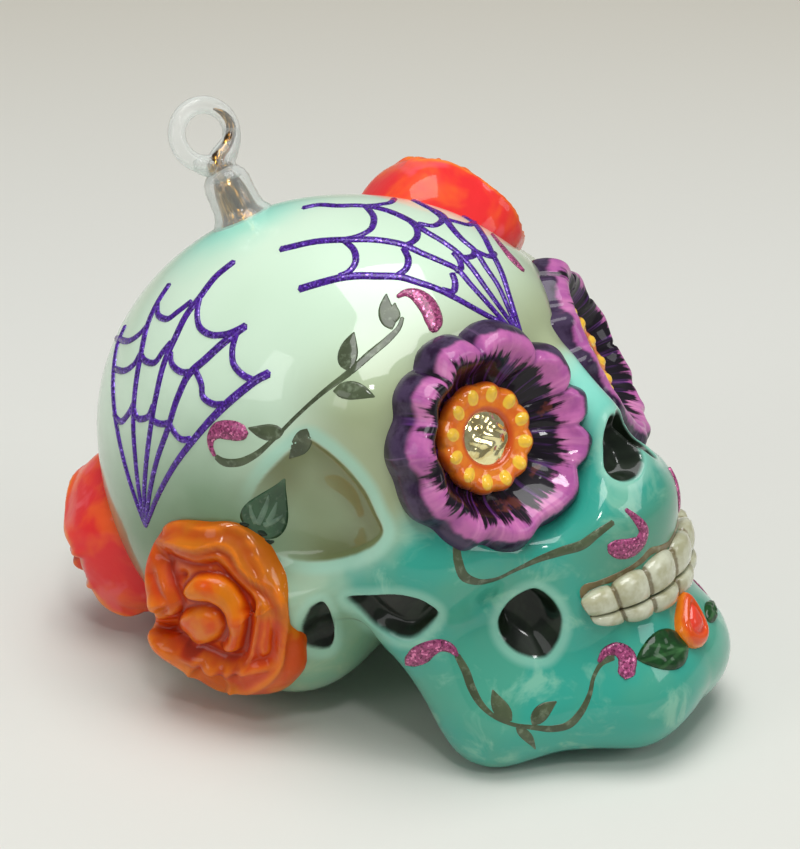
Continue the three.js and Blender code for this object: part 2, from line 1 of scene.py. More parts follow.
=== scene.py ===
"""The looks of a hand-blown glass sugar skull ornament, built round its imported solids.

Forms are worked out in millimetres in the skull's own level frame, with +X to its left, -Y
to its face and +Z up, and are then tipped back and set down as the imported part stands.
Places that are named in pixels belong to the photograph's frame of 800 x 849.
"""

import math

import bmesh
import bpy
import numpy as np
from bpy.props import FloatProperty, FloatVectorProperty, IntProperty, PointerProperty
from mathutils import Matrix, Vector
from mathutils.bvhtree import BVHTree


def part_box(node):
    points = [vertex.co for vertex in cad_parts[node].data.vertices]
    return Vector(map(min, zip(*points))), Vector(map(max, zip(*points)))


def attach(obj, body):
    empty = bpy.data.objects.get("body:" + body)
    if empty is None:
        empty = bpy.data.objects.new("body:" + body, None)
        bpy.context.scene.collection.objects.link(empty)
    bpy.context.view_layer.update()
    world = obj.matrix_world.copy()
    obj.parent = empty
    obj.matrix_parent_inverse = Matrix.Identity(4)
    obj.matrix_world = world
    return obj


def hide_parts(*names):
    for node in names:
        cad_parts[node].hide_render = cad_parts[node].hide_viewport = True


bl_info = {
    "name": "Sugar Skull Ornament",
    "version": (1, 0, 0),
    "blender": (4, 5, 0),
    "location": "View3D > Sidebar > Sugar Skull",
    "description": "Models and paints a blown-glass sugar skull round its packed solids",
    "category": "Object",
}

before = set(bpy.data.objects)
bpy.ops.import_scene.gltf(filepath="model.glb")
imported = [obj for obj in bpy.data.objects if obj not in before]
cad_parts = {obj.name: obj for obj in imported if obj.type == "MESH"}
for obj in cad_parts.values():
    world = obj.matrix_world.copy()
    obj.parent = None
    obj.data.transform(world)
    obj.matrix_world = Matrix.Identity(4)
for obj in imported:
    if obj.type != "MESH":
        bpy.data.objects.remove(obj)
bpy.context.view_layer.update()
MM = 0.001

# How the level skull stands on the floor
STANDS_AT = np.array((2.2570, 7.3110, 39.4954))
PITCH = math.radians(27.1835)

# The camera that the pixels belong to
AIM = np.array((2.257, -1.489, 39.695))
AWAY = 450.0
AZIMUTH = math.radians(-62)
ELEVATION = math.radians(25)
FOCAL_PIXELS = 3037.5
PIXEL = AWAY / FOCAL_PIXELS
PICTURE = (800, 849)
RIGHTWARD = np.array((math.cos(AZIMUTH), math.sin(AZIMUTH), 0.0))
UPWARD = np.array(
    (
        -math.sin(AZIMUTH) * math.sin(ELEVATION),
        math.cos(AZIMUTH) * math.sin(ELEVATION),
        math.cos(ELEVATION),
    )
)
BACKWARD = np.cross(RIGHTWARD, UPWARD)
EYE = AIM + AWAY * BACKWARD

# Sizes of the skull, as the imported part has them
CRANIUM = np.array((31.0, 38.0, 33.0))
FACE = np.array((25.0, 45.0, 56.0))
CORE = np.array((0.0, -0.31 * FACE[1], -0.25 * FACE[2]))
GUIDE = 0.35 * np.array((0.0, -0.6, -0.8))
FAR_OUT = 2 * CRANIUM[1] + FACE[2]
# Steps of a ray to the skin, the share of the way left that each takes, and the share that
# counts as there; then how far the skin may be off its solid, as a share of its length
RAY_STEPS = 400
RAY_SHARE = 0.7
RAY_END = 1e-5
SKIN_SLACK = 0.02
# How often the skin's ball is divided
SKIN_DIVISIONS = 7

# The skull's form: rounded masses, bars, hollows and grooves, as shares
CRANIUM_MASSES = [
    ((0, 0.075, 0.01), (1, 1, 1), 0.1),
    ((0, -0.32, 0.04), (0.74, 0.58, 0.66), 0.3),
    ((0, 0.45, -0.33), (0.8, 0.59, 0.66), 0.3),
]
FACE_MASSES = [
    ((0, -0.5, -0.36), (0.78, 0.38, 0.34), 0.35),
    ((0, -0.7, -0.45), (0.56, 0.3, 0.16), 0.3),
    ((0.8, -0.42, -0.35), (0.32, 0.22, 0.125), 0.3),
    ((0.8, 0.22, -0.44), (0.34, 0.24, 0.16), 0.35),
    ((0, -0.72, -0.89), (0.46, 0.19, 0.13), 0.3),
    ((0, -0.52, -0.64), (0.7, 0.365, 0.18), 0.3),
    ((0, -0.71, -0.78), (0.4, 0.15, 0.12), 0.2),
]
FACE_BARS = [
    ((0.96, -0.44, -0.32), (1.12, 0.02, -0.31), 0.066, 0.25),
    ((0.74, -0.38, -0.785), (0.36, -0.69, -0.89), 0.125, 0.3),
    ((0.9, -0.29, -0.5), (0.78, -0.34, -0.79), 0.1, 0.3),
    ((0.2, -0.62, 0.1), (0.84, -0.46, 0.1), 0.07, 0.3),
    ((0.88, -0.42, 0.08), (0.92, -0.4, -0.3), 0.105, 0.3),
    ((0, -0.7, 0.02), (0, -0.87, -0.2), 0.04, 0.15),
    ((0, -0.79, -0.07), (0, -0.905, -0.33), 0.062, 0.2),
]
HOLLOWS = [
    ((0.74, -0.84, -0.12), (0.58, 0.26, 0.3), 0.1),
    ((1.44, -0.14, -0.115), (0.37, 0.33, 0.17), 0.12),
]

# Outlines of the painted recesses in the photograph's pixels, how deep each is pressed in
# millimetres, and how far its wall slopes
RECESSES = {
    "nose": ([(614.2, 413), (605.5, 429.5), (604, 450.5), (607.3, 472), (616, 480), (627, 482.5),
        (639.5, 476.5), (645.5, 462), (642, 449), (632, 432), (622.6, 417)], 3.2, 1.6),
    "arch": ([(345.4, 599.6), (372.9, 596.1), (405.4, 596.7), (426.6, 603.8), (438.4, 614.4), (429, 628.5),
        (412.5, 640.3), (384.2, 633.3), (370.6, 623.7), (356.8, 609.9)], 2.6, 1.1),
    "ear": ([(302.9, 646.3), (311.2, 606.2), (320.5, 601.9), (331.6, 619.1), (329.3, 648.6)], 2.0, 1.2),
    "cheek": ([(497.4, 623.8), (507, 604), (521, 593.2), (535.2, 588.4), (551, 597), (563.5, 619.1),
        (558.8, 642.7), (544.6, 659.2), (523.4, 656.9), (504.5, 642.7)], 3.0, 2.0),
    "temple": ([(250, 500), (286.5, 452), (308, 438.2), (321.4, 446.2), (337.9, 459.5), (352.9, 475),
        (366.1, 493), (375.4, 512.9), (382.9, 534.4), (374.4, 545.5), (359.5, 553.7), (339.6, 559.5),
        (321.4, 562), (299.8, 561.3), (270, 552), (245, 545)], 0.9, 0.9),
}
NO_RECESS = 50.0
# A recess reaches this many pixels past its outline, its heart is sought this near its middle,
# and the skin within it spans no more than this share of its reach
RECESS_MARGIN = 28
HEART_REACH = 7
RECESS_SPAN = 1.7
# In millimetres from a recess's edge: where its wall starts, and the band of finer glass
WALL_START = 0.25
FINE_BAND = 2.2
# How much further from the nose's ridge the left nostril lies than the right one
NOSTRIL_SHIFT = 1.0
# Where the temple's recess fades out towards the back, in level millimetres
TEMPLE_FADE = (4.0, -7.0)

# Seats of what the skull carries: place in shares of the face or cranium, rise above the
# skin, and turns in degrees
EYE_SEATS = {
    "right": ((-0.68, -0.72, -0.096), 7.39, -24, -3, (0.09, -0.05)),
    "left": ((0.68, -0.705, -0.096), 6.74, 24, 4, (-0.08, -0.07)),
}
ROSE_SEATS = {
    "rose_right": ((-1.116, 0.304, -0.2888), FACE, -0.59, -104, -14, 0, 14.0, 0.0),
    "rose_back": ((-0.24, 1.12, -0.2), CRANIUM, 1.62, -166, -10, 40, 13.2, 1.5),
    "rose_left_temple": ((0.72, -0.38, 0.58), CRANIUM, 0.46, 66, 34, 20, 12.8, 3.4),
}
CHIN_SEATS = {
    "bud": ((0, -0.9, -0.79), 0, 6, -27),
    "leaf_right": ((-0.33, -0.871, -0.8), -21, 12, 165),
    "leaf_left": ((0.32, -0.871, -0.8), 21, 12, 10),
}
NECK_SEAT = (0.0, 2.8, 33.0)
LOOP_TURN = math.radians(32)
RING_RISE = 13.6


# Sizes and colours that a user may change


def linear(red, green, blue):
    """A colour seen on screen, as the shader counts it."""
    return tuple(
        c / 12.92 if c <= 0.04045 else ((c + 0.055) / 1.055) ** 2.4
        for c in (red / 255, green / 255, blue / 255)
    )


def length_prop(name, description, default):
    """A length in millimetres."""
    return FloatProperty(name=name, description=description, default=default * MM, unit="LENGTH")


def count_prop(name, description, default):
    """How many lobes a flower has."""
    return IntProperty(name=name, description=description, default=default, min=5)


def colour_prop(name, description, *screen):
    """A colour, given as it's seen on screen."""
    limits = {"size": 3, "subtype": "COLOR", "min": 0, "max": 1}
    return FloatVectorProperty(name=name, description=description, default=linear(*screen), **limits)


class SugarSkullSizes(bpy.types.PropertyGroup):
    """Sizes of the ornament's raised and painted work."""

    eye_radius: length_prop("Eye flower radius", "Radius of the ruffled flower round each eye", 15.0)
    eye_crest: length_prop("Eye flower crest", "Height of the petals' crest over the flower's seat", 3.2)
    disc_radius: length_prop("Eye disc radius", "Radius of the orange disc in each flower", 7.6)
    mirror_radius: length_prop("Mirror radius", "Radius of the silvered mirror in each disc", 4.0)
    rose_height: length_prop("Rose height", "Height of a rose over its seat", 7.5)
    neck_radius: length_prop("Neck radius", "Radius of the glass neck", 3.7)
    neck_height: length_prop("Neck height", "Height of the glass neck over the crown", 8.0)
    ring_radius: length_prop("Ring radius", "Radius of the middle of the hanging ring's rod", 4.35)
    ring_rod: length_prop("Ring rod", "Radius of the hanging ring's rod", 1.35)
    glitter_rise: length_prop("Glitter rise", "How far a glitter line stands off the glass", 0.3)
    paint_rise: length_prop("Paint rise", "How far a painted vine stands off the glass", 0.05)
    petal_lobes: count_prop("Petal lobes", "Lobes of each eye flower", 11)
    disc_lobes: count_prop("Disc lobes", "Scallops and dots of each disc", 12)


class SugarSkullColours(bpy.types.PropertyGroup):
    """Colours of the ornament's glass and paint."""

    dome: colour_prop("Dome", "Milky mint of the dome", 216, 240, 216)
    crown: colour_prop("Crown", "Bright aqua round the neck", 138, 232, 208)
    face: colour_prop("Face", "Turquoise of the face and jaw", 52, 164, 145)
    patch: colour_prop("Patches", "Pale mint patches on the turquoise", 150, 206, 178)
    temple: colour_prop("Temple", "Olive grey of the temple hollow", 140, 156, 116)
    recess: colour_prop("Recess", "Green black of the painted recesses", 10, 18, 10)
    web: colour_prop("Web glitter", "Violet glitter of the webs", 84, 34, 160)
    comma: colour_prop("Pink glitter", "Pink glitter of the commas", 174, 76, 126)
    vine: colour_prop("Vine", "Olive grey of the brushed vines", 86, 98, 70)
    leaf: colour_prop("Leaf", "Green of the painted leaves", 22, 74, 28)
    petal: colour_prop("Petal", "Orchid of the flower's crest", 196, 108, 170)
    petal_dark: colour_prop("Petal shade", "Black purple of the flower's valley", 38, 14, 48)
    disc: colour_prop("Disc", "Orange of the eye disc", 240, 136, 34)
    dot: colour_prop("Dot", "Yellow of the disc's dots", 250, 200, 60)
    rose_edge: colour_prop("Rose edge", "Yellow orange of the petals' lips", 240, 128, 22)
    rose_body: colour_prop("Rose", "Orange of the roses", 222, 78, 4)
    # Painted shade for the roses' folds
    rose_fold_shade: colour_prop("Rose depth", "Red in the roses' folds", 186, 44, 4)
    tooth: colour_prop("Tooth", "Cream grey of the teeth", 212, 214, 190)
    tooth_line: colour_prop("Tooth outline", "Brown between the teeth", 116, 100, 66)
    silver: colour_prop("Silver", "Brown gold of the silvered glass", 188, 146, 66)
    mirror: colour_prop("Mirror", "Pale gold of the eye mirrors", 255, 246, 190)
    clear: colour_prop("Clear glass", "Tint of the clear glass", 236, 240, 236)
    floor: colour_prop("Floor", "The pale table", 222, 222, 215)


# The skull's form


def outside_mass(points, place, size):
    """About how far points lie outside a rounded mass."""
    q = points - place
    k0 = np.linalg.norm(q / size, axis=-1)
    k1 = np.linalg.norm(q / size**2, axis=-1)
    return np.where(k1 == 0, -size[0], k0 * (k0 - 1) / np.maximum(k1, 1e-12))


def outside_bar(points, start, stop, radius):
    """How far points lie outside a round bar."""
    run = stop - start
    q = points - start
    share = np.clip(q @ run / (run @ run), 0, 1)
    return np.linalg.norm(q - share[..., None] * run, axis=-1) - radius


def soft_min(a, b, blend):
    """The lesser of two distances, with the fold between them rounded."""
    h = np.maximum(blend - np.abs(a - b), 0) / blend
    return np.minimum(a, b) - h * h * blend / 4


def folded(points):
    """The same points on the skull's left half."""
    sides = np.array(points, float)
    sides[..., 0] = np.abs(sides[..., 0])
    return sides


def outside_skull(points):
    """About how far points lie outside the skull."""
    sides = folded(points)
    far = np.full(sides.shape[:-1], 1e9)
    for scale, masses in ((CRANIUM, CRANIUM_MASSES), (FACE, FACE_MASSES)):
        for place, size, blend in masses:
            out = outside_mass(sides, np.array(place) * scale, np.array(size) * scale)
            far = soft_min(far, out, blend * scale[0])
    for start, stop, radius, blend in FACE_BARS:
        out = outside_bar(sides, np.array(start) * FACE, np.array(stop) * FACE, radius * FACE[2])
        far = soft_min(far, out, blend * FACE[0])
    for place, size, blend in HOLLOWS:
        out = outside_mass(sides, np.array(place) * FACE, np.array(size) * FACE)
        far = -soft_min(-far, out, blend * FACE[0])
    return far


def skin_along(directions, origins=CORE):
    """How far along rays from places inside the skull its skin lies."""
    directions = np.atleast_2d(directions)
    origins = np.broadcast_to(origins, directions.shape)
    far = np.full(len(directions), FAR_OUT)
    live = np.arange(len(directions))
    for _ in range(RAY_STEPS):
        left = outside_skull(origins[live] + directions[live] * far[live, None])
        going = left >= RAY_END * FAR_OUT
        live, left = live[going], left[going]
        if not len(live):
            break
        far[live] -= RAY_SHARE * left
    return far


def unit(vectors):
    """The same vectors at a length of 1."""
    return vectors / np.linalg.norm(vectors, axis=-1, keepdims=True)


def on_skin(at, scale, rise=0.0):
    """The point a rise above the skin, straight out from the core past a place."""
    aim = unit(np.array(at) * scale - CORE)
    return CORE + aim * (skin_along(aim)[0] + rise)


def tipped(points):
    """Level directions or offsets, as they are once the skull is tipped back."""
    points = np.asarray(points, float)
    x, y, z = points[..., 0], points[..., 1], points[..., 2]
    c, s = math.cos(PITCH), math.sin(PITCH)
    return np.stack((x, y * c + z * s, z * c - y * s), axis=-1)


def to_world(points):
    """Level millimetres to metres where the ornament stands, never under the floor."""
    world = tipped(points) + STANDS_AT
    world[..., 2] = np.maximum(world[..., 2], 0)
    return world * MM


def to_level(world):
    """Metres where the ornament stands to level millimetres."""
    q = np.asarray(world, float) / MM - STANDS_AT
    x, y, z = q[..., 0], q[..., 1], q[..., 2]
    c, s = math.cos(PITCH), math.sin(PITCH)
    return np.stack((x, y * c - z * s, z * c + y * s), axis=-1)


def facing(place, yaw, tilt, spin=0.0):
    """The frame of a piece that faces out at a place: its across, up and out, as rows."""
    yaw, tilt, spin = (math.radians(a) for a in (yaw, tilt, spin))
    out = np.array((math.sin(yaw) * math.cos(tilt), -math.cos(yaw) * math.cos(tilt), math.sin(tilt)))
    across = np.array((math.cos(yaw), math.sin(yaw), 0.0))
    up = np.cross(out, across)
    turned = across * math.cos(spin) + up * math.sin(spin)
    risen = up * math.cos(spin) - across * math.sin(spin)
    return np.array(place, float), np.array((turned, risen, out))


def from_seat(points, seat):
    """Points in a seat's own frame as level ones."""
    place, axes = seat
    return place + np.asarray(points) @ axes


def to_seat(points, seat):
    """Level points in a seat's own frame."""
    place, axes = seat
    return (np.asarray(points) - place) @ axes.T


def pixels_of(world):
    """Where the camera sees places, in the photograph's pixels."""
    q = np.asarray(world) / MM - EYE
    depth = -q @ BACKWARD
    right = PICTURE[0] / 2 + FOCAL_PIXELS * (q @ RIGHTWARD) / depth
    down = PICTURE[1] / 2 - FOCAL_PIXELS * (q @ UPWARD) / depth
    return np.stack((right, down), axis=-1)


def rounded(outline):
    """A closed outline with smooth bends between its points."""
    looped = np.array(outline[-3:] + outline + outline[:3], float)
    runs = np.concatenate(((0,), np.cumsum(np.linalg.norm(np.diff(looped, axis=0), axis=1))))
    return smooth_curve(runs, looped, np.linspace(runs[3], runs[-3], 72, endpoint=False)[:-1])


def outside_outline(places, outline):
    """How far flat places lie outside a closed outline, and below zero inside it."""
    corners = rounded(outline)
    gap = np.full(len(places), np.inf)
    inside = np.zeros(len(places), bool)
    for a, b in zip(corners, np.roll(corners, -1, axis=0)):
        run = b - a
        share = np.clip((places - a) @ run / (run @ run), 0, 1)
        gap = np.minimum(gap, np.linalg.norm(places - a - share[:, None] * run, axis=1))
        crosses = (a[1] > places[:, 1]) != (b[1] > places[:, 1])
        if run[1]:
            inside ^= crosses & (places[:, 0] < a[0] + run[0] * (places[:, 1] - a[1]) / run[1])
    return np.where(inside, -gap, gap)


def smooth_step(low, high, value):
    """From 0 at low to 1 at high, with soft ends."""
    share = np.clip((np.asarray(value, float) - low) / (high - low), 0, 1)
    return share * share * (3 - 2 * share)


def once_round(count):
    """Even angles once round a circle."""
    return np.linspace(0, 2 * math.pi, count, endpoint=False)


def circled(reach, angle, height):
    """Points round a middle, at a reach and a height for each angle."""
    return np.stack((reach * np.cos(angle), reach * np.sin(angle), height + 0 * angle), axis=1)


def lobed(angle, lobes, turn=0.0):
    """Rounded lobes with a sharp fold between them, from 1 at a lobe to -1."""
    return 2 * np.abs(np.cos(lobes * angle / 2 + turn)) - 1


def smooth_curve(stations, values, at):
    """Values at stations, joined by a smooth curve."""
    values = np.asarray(values, float)
    slopes = np.gradient(values, stations, axis=0)
    i = np.clip(np.searchsorted(stations, at) - 1, 0, len(stations) - 2)
    step = np.asarray(stations)[i + 1] - np.asarray(stations)[i]
    t = (at - np.asarray(stations)[i]) / step
    if values.ndim > 1:
        t, step = t[:, None], step[:, None]
    return (
        values[i] * (1 + 2 * t) * (1 - t) ** 2
        + slopes[i] * step * t * (1 - t) ** 2
        + values[i + 1] * t * t * (3 - 2 * t)
        + slopes[i + 1] * step * t * t * (t - 1)
    )


def through(values, at):
    """Values at stations 0, 1, 2 and so on, joined by a smooth curve."""
    return smooth_curve(np.arange(len(values), dtype=float), values, at)


# Modelling by hand


def start_clean():
    """Leaves nothing selected, so an operator acts on the new piece alone."""
    if bpy.context.object and bpy.context.object.mode != "OBJECT":
        bpy.ops.object.mode_set(mode="OBJECT")
    bpy.ops.object.select_all(action="DESELECT")


def renumber(mesh, number):
    """Gives each selected point the number that its old one leads to."""
    bm = bmesh.from_edit_mesh(mesh)
    spot = bm.verts.layers.int["spot"]
    for vertex in bm.verts:
        if vertex.select:
            vertex[spot] = number(vertex[spot])
    bmesh.update_edit_mesh(mesh)


def ring_body(name, rings, seat=None, ends=(None, None), marks=None):
    """A closed body, extruded ring by ring from a circle and drawn together at both ends.

    Rings are points in the seat's own frame, or level ones without a seat. Marks are
    numbers kept on the points for the material, and so are the seat's own coordinates.
    """
    start_clean()
    rings = np.asarray(rings, float)
    count = rings.shape[1]
    marks = marks or {}
    bpy.ops.mesh.primitive_circle_add(vertices=count, radius=MM, fill_type="NOTHING")
    piece = bpy.context.object
    piece.name = piece.data.name = name
    bpy.ops.object.mode_set(mode="EDIT")
    mesh = piece.data
    bm = bmesh.from_edit_mesh(mesh)
    spot = bm.verts.layers.int.new("spot")
    bm.verts.ensure_lookup_table()
    for i, vertex in enumerate(bm.verts):
        vertex[spot] = i
    bmesh.update_edit_mesh(mesh)
    bpy.ops.mesh.select_all(action="SELECT")

    # Each extrusion keeps the number of the point that it came from, so its place is known
    for level in range(1, len(rings)):
        bpy.ops.mesh.extrude_region_move()
        renumber(mesh, lambda old: level * count + old % count)
    for end, ring in enumerate((0, len(rings) - 1)):
        bpy.ops.mesh.select_all(action="DESELECT")
        bm = bmesh.from_edit_mesh(mesh)
        spot = bm.verts.layers.int["spot"]
        for vertex in bm.verts:
            if vertex[spot] // count == ring and vertex[spot] >= 0:
                vertex.select = True
        bm.select_flush(True)
        bmesh.update_edit_mesh(mesh)
        bpy.ops.mesh.extrude_region_move()
        bpy.ops.mesh.merge(type="CENTER")
        renumber(mesh, lambda old: -1 - end)
    bpy.ops.object.mode_set(mode="OBJECT")

    spots = np.zeros(len(mesh.vertices), int)
    mesh.attributes["spot"].data.foreach_get("value", spots)
    own = np.empty((len(spots), 3))
    body = spots >= 0
    own[body] = rings.reshape(-1, 3)[spots[body]]
    for end, ring in enumerate((0, -1)):
        tip = rings[ring].mean(axis=0) if ends[end] is None else np.asarray(ends[end], float)
        own[spots == -1 - end] = tip
    level_points = own if seat is None else from_seat(own, seat)
    mesh.vertices.foreach_set("co", to_world(level_points).ravel())
    keep(mesh, "own", own)
    for mark, values in marks.items():
        flat = np.asarray(values, float).reshape(-1)
        kept = np.empty(len(spots))
        kept[body] = flat[spots[body]]
        kept[spots == -1] = flat[:count].mean()
        kept[spots == -2] = flat[-count:].mean()
        keep(mesh, mark, kept)
    mesh.attributes.remove(mesh.attributes["spot"])
    outward(piece)
    return piece


def keep(mesh, name, values):
    """Keeps a number or a place on every point of a mesh, for its material."""
    kind = "FLOAT_VECTOR" if values.ndim > 1 else "FLOAT"
    layer = mesh.attributes.new(name, kind, "POINT")
    layer.data.foreach_set("vector" if values.ndim > 1 else "value", values.ravel())


def outward(piece):
    """Turns a closed piece's faces outwards and smooths its shading."""
    start_clean()
    piece.select_set(True)
    bpy.context.view_layer.objects.active = piece
    bpy.ops.object.mode_set(mode="EDIT")
    bpy.ops.mesh.select_all(action="SELECT")
    bpy.ops.mesh.normals_make_consistent(inside=False)
    bpy.ops.mesh.select_all(action="DESELECT")
    bpy.ops.object.mode_set(mode="OBJECT")
    bpy.ops.object.shade_smooth()


def finished(piece, material, slot, *nodes):
    """Gives a piece its material, hangs it under the root and hides the solids that it stands for. The slot
    is not used.
    """
    piece.data.materials.clear()
    piece.data.materials.append(material)
    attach(piece, "root")
    if nodes:
        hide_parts(*nodes)


def joined(name, pieces):
    """One piece from several bodies."""
    start_clean()
    for piece in pieces:
        piece.select_set(True)
    bpy.context.view_layer.objects.active = pieces[0]
    if len(pieces) > 1:
        bpy.ops.object.join()
    whole = bpy.context.view_layer.objects.active
    whole.name = whole.data.name = name
    return whole


def sight(pixel):
    """The camera's ray through a pixel, in metres."""
    right = (pixel[0] - PICTURE[0] / 2) / FOCAL_PIXELS
    up = (PICTURE[1] / 2 - pixel[1]) / FOCAL_PIXELS
    ray = unit(-BACKWARD + RIGHTWARD * right + UPWARD * up)
    return Vector(EYE * MM), Vector(ray)


def height_of_skin(tree, seat, across, up, above, reach):
    """How high over a seat the skin lies, sought from above, or None past its edge."""
    start = Vector(to_world(from_seat((across, up, above), seat)))
    hit = tree.ray_cast(start, Vector(-tipped(seat[1][2])), reach * MM)[0]
    return None if hit is None else to_seat(to_level(np.array(hit)), seat)[2]


def tree_of(piece):
    """A piece's faces, for rays to meet."""
    mesh = piece.data
    return BVHTree.FromPolygons(
        [vertex.co.copy() for vertex in mesh.vertices], [tuple(face.vertices) for face in mesh.polygons]
    )


# Shader maths


class Wire:
    """A number or colour on its way through a material. Sums written on it add nodes."""

    def __init__(self, paint, socket):
        self.paint = paint
        self.socket = socket

    def sum(self, operation, *others, clamp=False):
        values = dict(enumerate((self, *others)))
        return self.paint.node("ShaderNodeMath", {"operation": operation, "use_clamp": clamp}, values)

    def __add__(self, other):
        return self.sum("ADD", other)

    def __sub__(self, other):
        return self.sum("SUBTRACT", other)

    def __rsub__(self, other):
        return self.paint.node("ShaderNodeMath", {"operation": "SUBTRACT"}, {0: other, 1: self})

    def __mul__(self, other):
        return self.sum("MULTIPLY", other)

    def __truediv__(self, other):
        return self.sum("DIVIDE", other)

    def __pow__(self, other):
        return self.sum("POWER", other)

    def __abs__(self):
        return self.sum("ABSOLUTE")

    __radd__ = __add__
    __rmul__ = __mul__

    def held(self):
        """The number, kept from 0 to 1."""
        return self.sum("ADD", 0, clamp=True)

    def step(self, low, high):
        """A smooth step from 0 at low to 1 at high."""
        settings = {"interpolation_type": "SMOOTHSTEP"}
        values = {"Value": self, "From Min": low, "From Max": high}
        return self.paint.node("ShaderNodeMapRange", settings, values)


class Paint:
    """A glossy painted-glass material that is built from nodes."""

    def __init__(self, name, **shader):
        self.material = bpy.data.materials.new(name)
        self.material.use_nodes = True
        self.tree = self.material.node_tree
        self.shader = self.tree.nodes["Principled BSDF"]
        self.made = {}
        # The coat alone carries the gloss of a lacquer
        shader = {"specular_ior_level": 0.12} | shader
        for socket, value in shader.items():
            self.shader.inputs[socket.replace("_", " ").title().replace("Ior", "IOR")].default_value = value

    def node(self, kind, settings=None, values=None, take=0):
        """Adds a node with its settings, then its sockets, and returns one output."""
        node = self.tree.nodes.new(kind)
        for name, setting in (settings or {}).items():
            setattr(node, name, setting)
        for name, value in (values or {}).items():
            socket = node.inputs[name]
            if isinstance(value, Wire):
                self.tree.links.new(value.socket, socket)
            elif hasattr(value, "__len__") and socket.type == "RGBA" and len(value) == 3:
                socket.default_value = (*value, 1)
            else:
                socket.default_value = value
        return Wire(self, node.outputs[take])

    def mark(self, name, take="Fac"):
        """A number or place kept on the piece's points."""
        key = (name, take)
        if key not in self.made:
            self.made[key] = self.node("ShaderNodeAttribute", {"attribute_name": name}, take=take)
        return self.made[key]

    def place(self):
        """The piece's Object coordinates, in metres."""
        if "place" not in self.made:
            self.made["place"] = self.node("ShaderNodeTexCoord", take="Object")
        return self.made["place"]

    def noise(self, scale, detail=3.0, roughness=0.55, distortion=0.0, at=None):
        """Noise from 0 to 1, at the piece's own places unless others are given."""
        values = {"Vector": at or self.place(), "Scale": scale, "Detail": detail}
        values |= {"Roughness": roughness, "Distortion": distortion}
        return self.node("ShaderNodeTexNoise", {"noise_dimensions": "3D"}, values, "Fac")

    def own(self):
        """The across, up and out coordinates of the piece's own frame, in millimetres."""
        if "own" not in self.made:
            self.made["own"] = self.split(self.mark("own", "Vector"))
        return self.made["own"]

    def mix(self, share, first, second):
        """One colour turning into another."""
        values = {0: share, 6: first, 7: second}
        return self.node("ShaderNodeMix", {"data_type": "RGBA", "clamp_factor": True}, values, 2)

    def over(self, tone, *layers):
        """A colour with others laid over it in turn, each by its share."""
        for share, colour in layers:
            tone = self.mix(share, tone, colour)
        return tone

    def set(self, **sockets):
        """Leads wires into the shader's sockets."""
        for name, wire in sockets.items():
            self.tree.links.new(wire.socket, self.shader.inputs[name.replace("_", " ").title()])

    def bump(self, height, strength, distance):
        """Raises the surface's shading by a height."""
        values = {"Height": height, "Strength": strength, "Distance": distance * MM}
        raised = self.node("ShaderNodeBump", None, values, "Normal")
        self.tree.links.new(raised.socket, self.shader.inputs["Normal"])

    def polar(self):
        """Radius and angle, in turns, round the piece's own middle."""
        x, y, _ = self.own()
        radius = (x * x + y * y) ** 0.5
        angle = self.node("ShaderNodeMath", {"operation": "ARCTAN2"}, {0: y, 1: x}) / (2 * math.pi)
        return radius, angle

    def split(self, vector):
        """A place as its three numbers."""
        return [self.node("ShaderNodeSeparateXYZ", None, {0: vector}, axis) for axis in "XYZ"]

    def vector(self, x, y, z):
        """Three numbers as one place."""
        return self.node("ShaderNodeCombineXYZ", None, {0: x, 1: y, 2: z})


def settings():
    """The sizes and the colours that the user has set."""
    whole = bpy.context.scene.sugar_skull
    return whole.sizes, whole.colours


# Flecks of glitter to a metre
FLECKS = 3600.0


def glitter_paint(name, colour):
    """Glitter glue: flecks that each catch the light their own way, over a deep ground."""
    paint = Paint(name, roughness=0.35, metallic=0.35, coat_weight=0.6, coat_roughness=0.12)
    flecks = {"Vector": paint.place(), "Scale": FLECKS, "Randomness": 1.0}
    shade = paint.node("ShaderNodeTexVoronoi", None, flecks, "Color")
    number = paint.node("ShaderNodeSeparateColor", None, {0: shade}, "Red")
    other = paint.node("ShaderNodeSeparateColor", None, {0: shade}, "Green")
    deep = tuple(c * 0.45 for c in colour)
    bright = tuple(min(1.0, c * 1.6 + 0.12) for c in colour)
    ground = paint.mix(number.step(0.1, 0.8), deep, colour)
    tone = paint.mix(other.step(0.82, 0.95), ground, bright)
    paint.set(base_color=tone, roughness=0.15 + number * 0.4, metallic=other.step(0.5, 0.9) * 0.8)
    paint.bump(number, 0.8, 0.12)
    return paint.material


def brush_paint(name, colour, thin):
    """Thin brushed paint that is darker where the brush lifted."""
    paint = Paint(name, roughness=0.4, coat_weight=0.7, coat_roughness=0.06)
    streaks = paint.noise(900.0, 4.0)
    clouds = paint.noise(240.0, 2.0)
    pale = tuple(c * (1 - thin) + g * thin for c, g in zip(colour, linear(190, 210, 180)))
    dark = tuple(c * 0.6 for c in colour)
    tone = paint.mix(clouds.step(0.35, 0.7), dark, colour)
    paint.set(base_color=paint.mix(streaks.step(0.5, 0.75) * 0.7, tone, pale))
    return paint.material


# Operators, one for each piece or group of like pieces


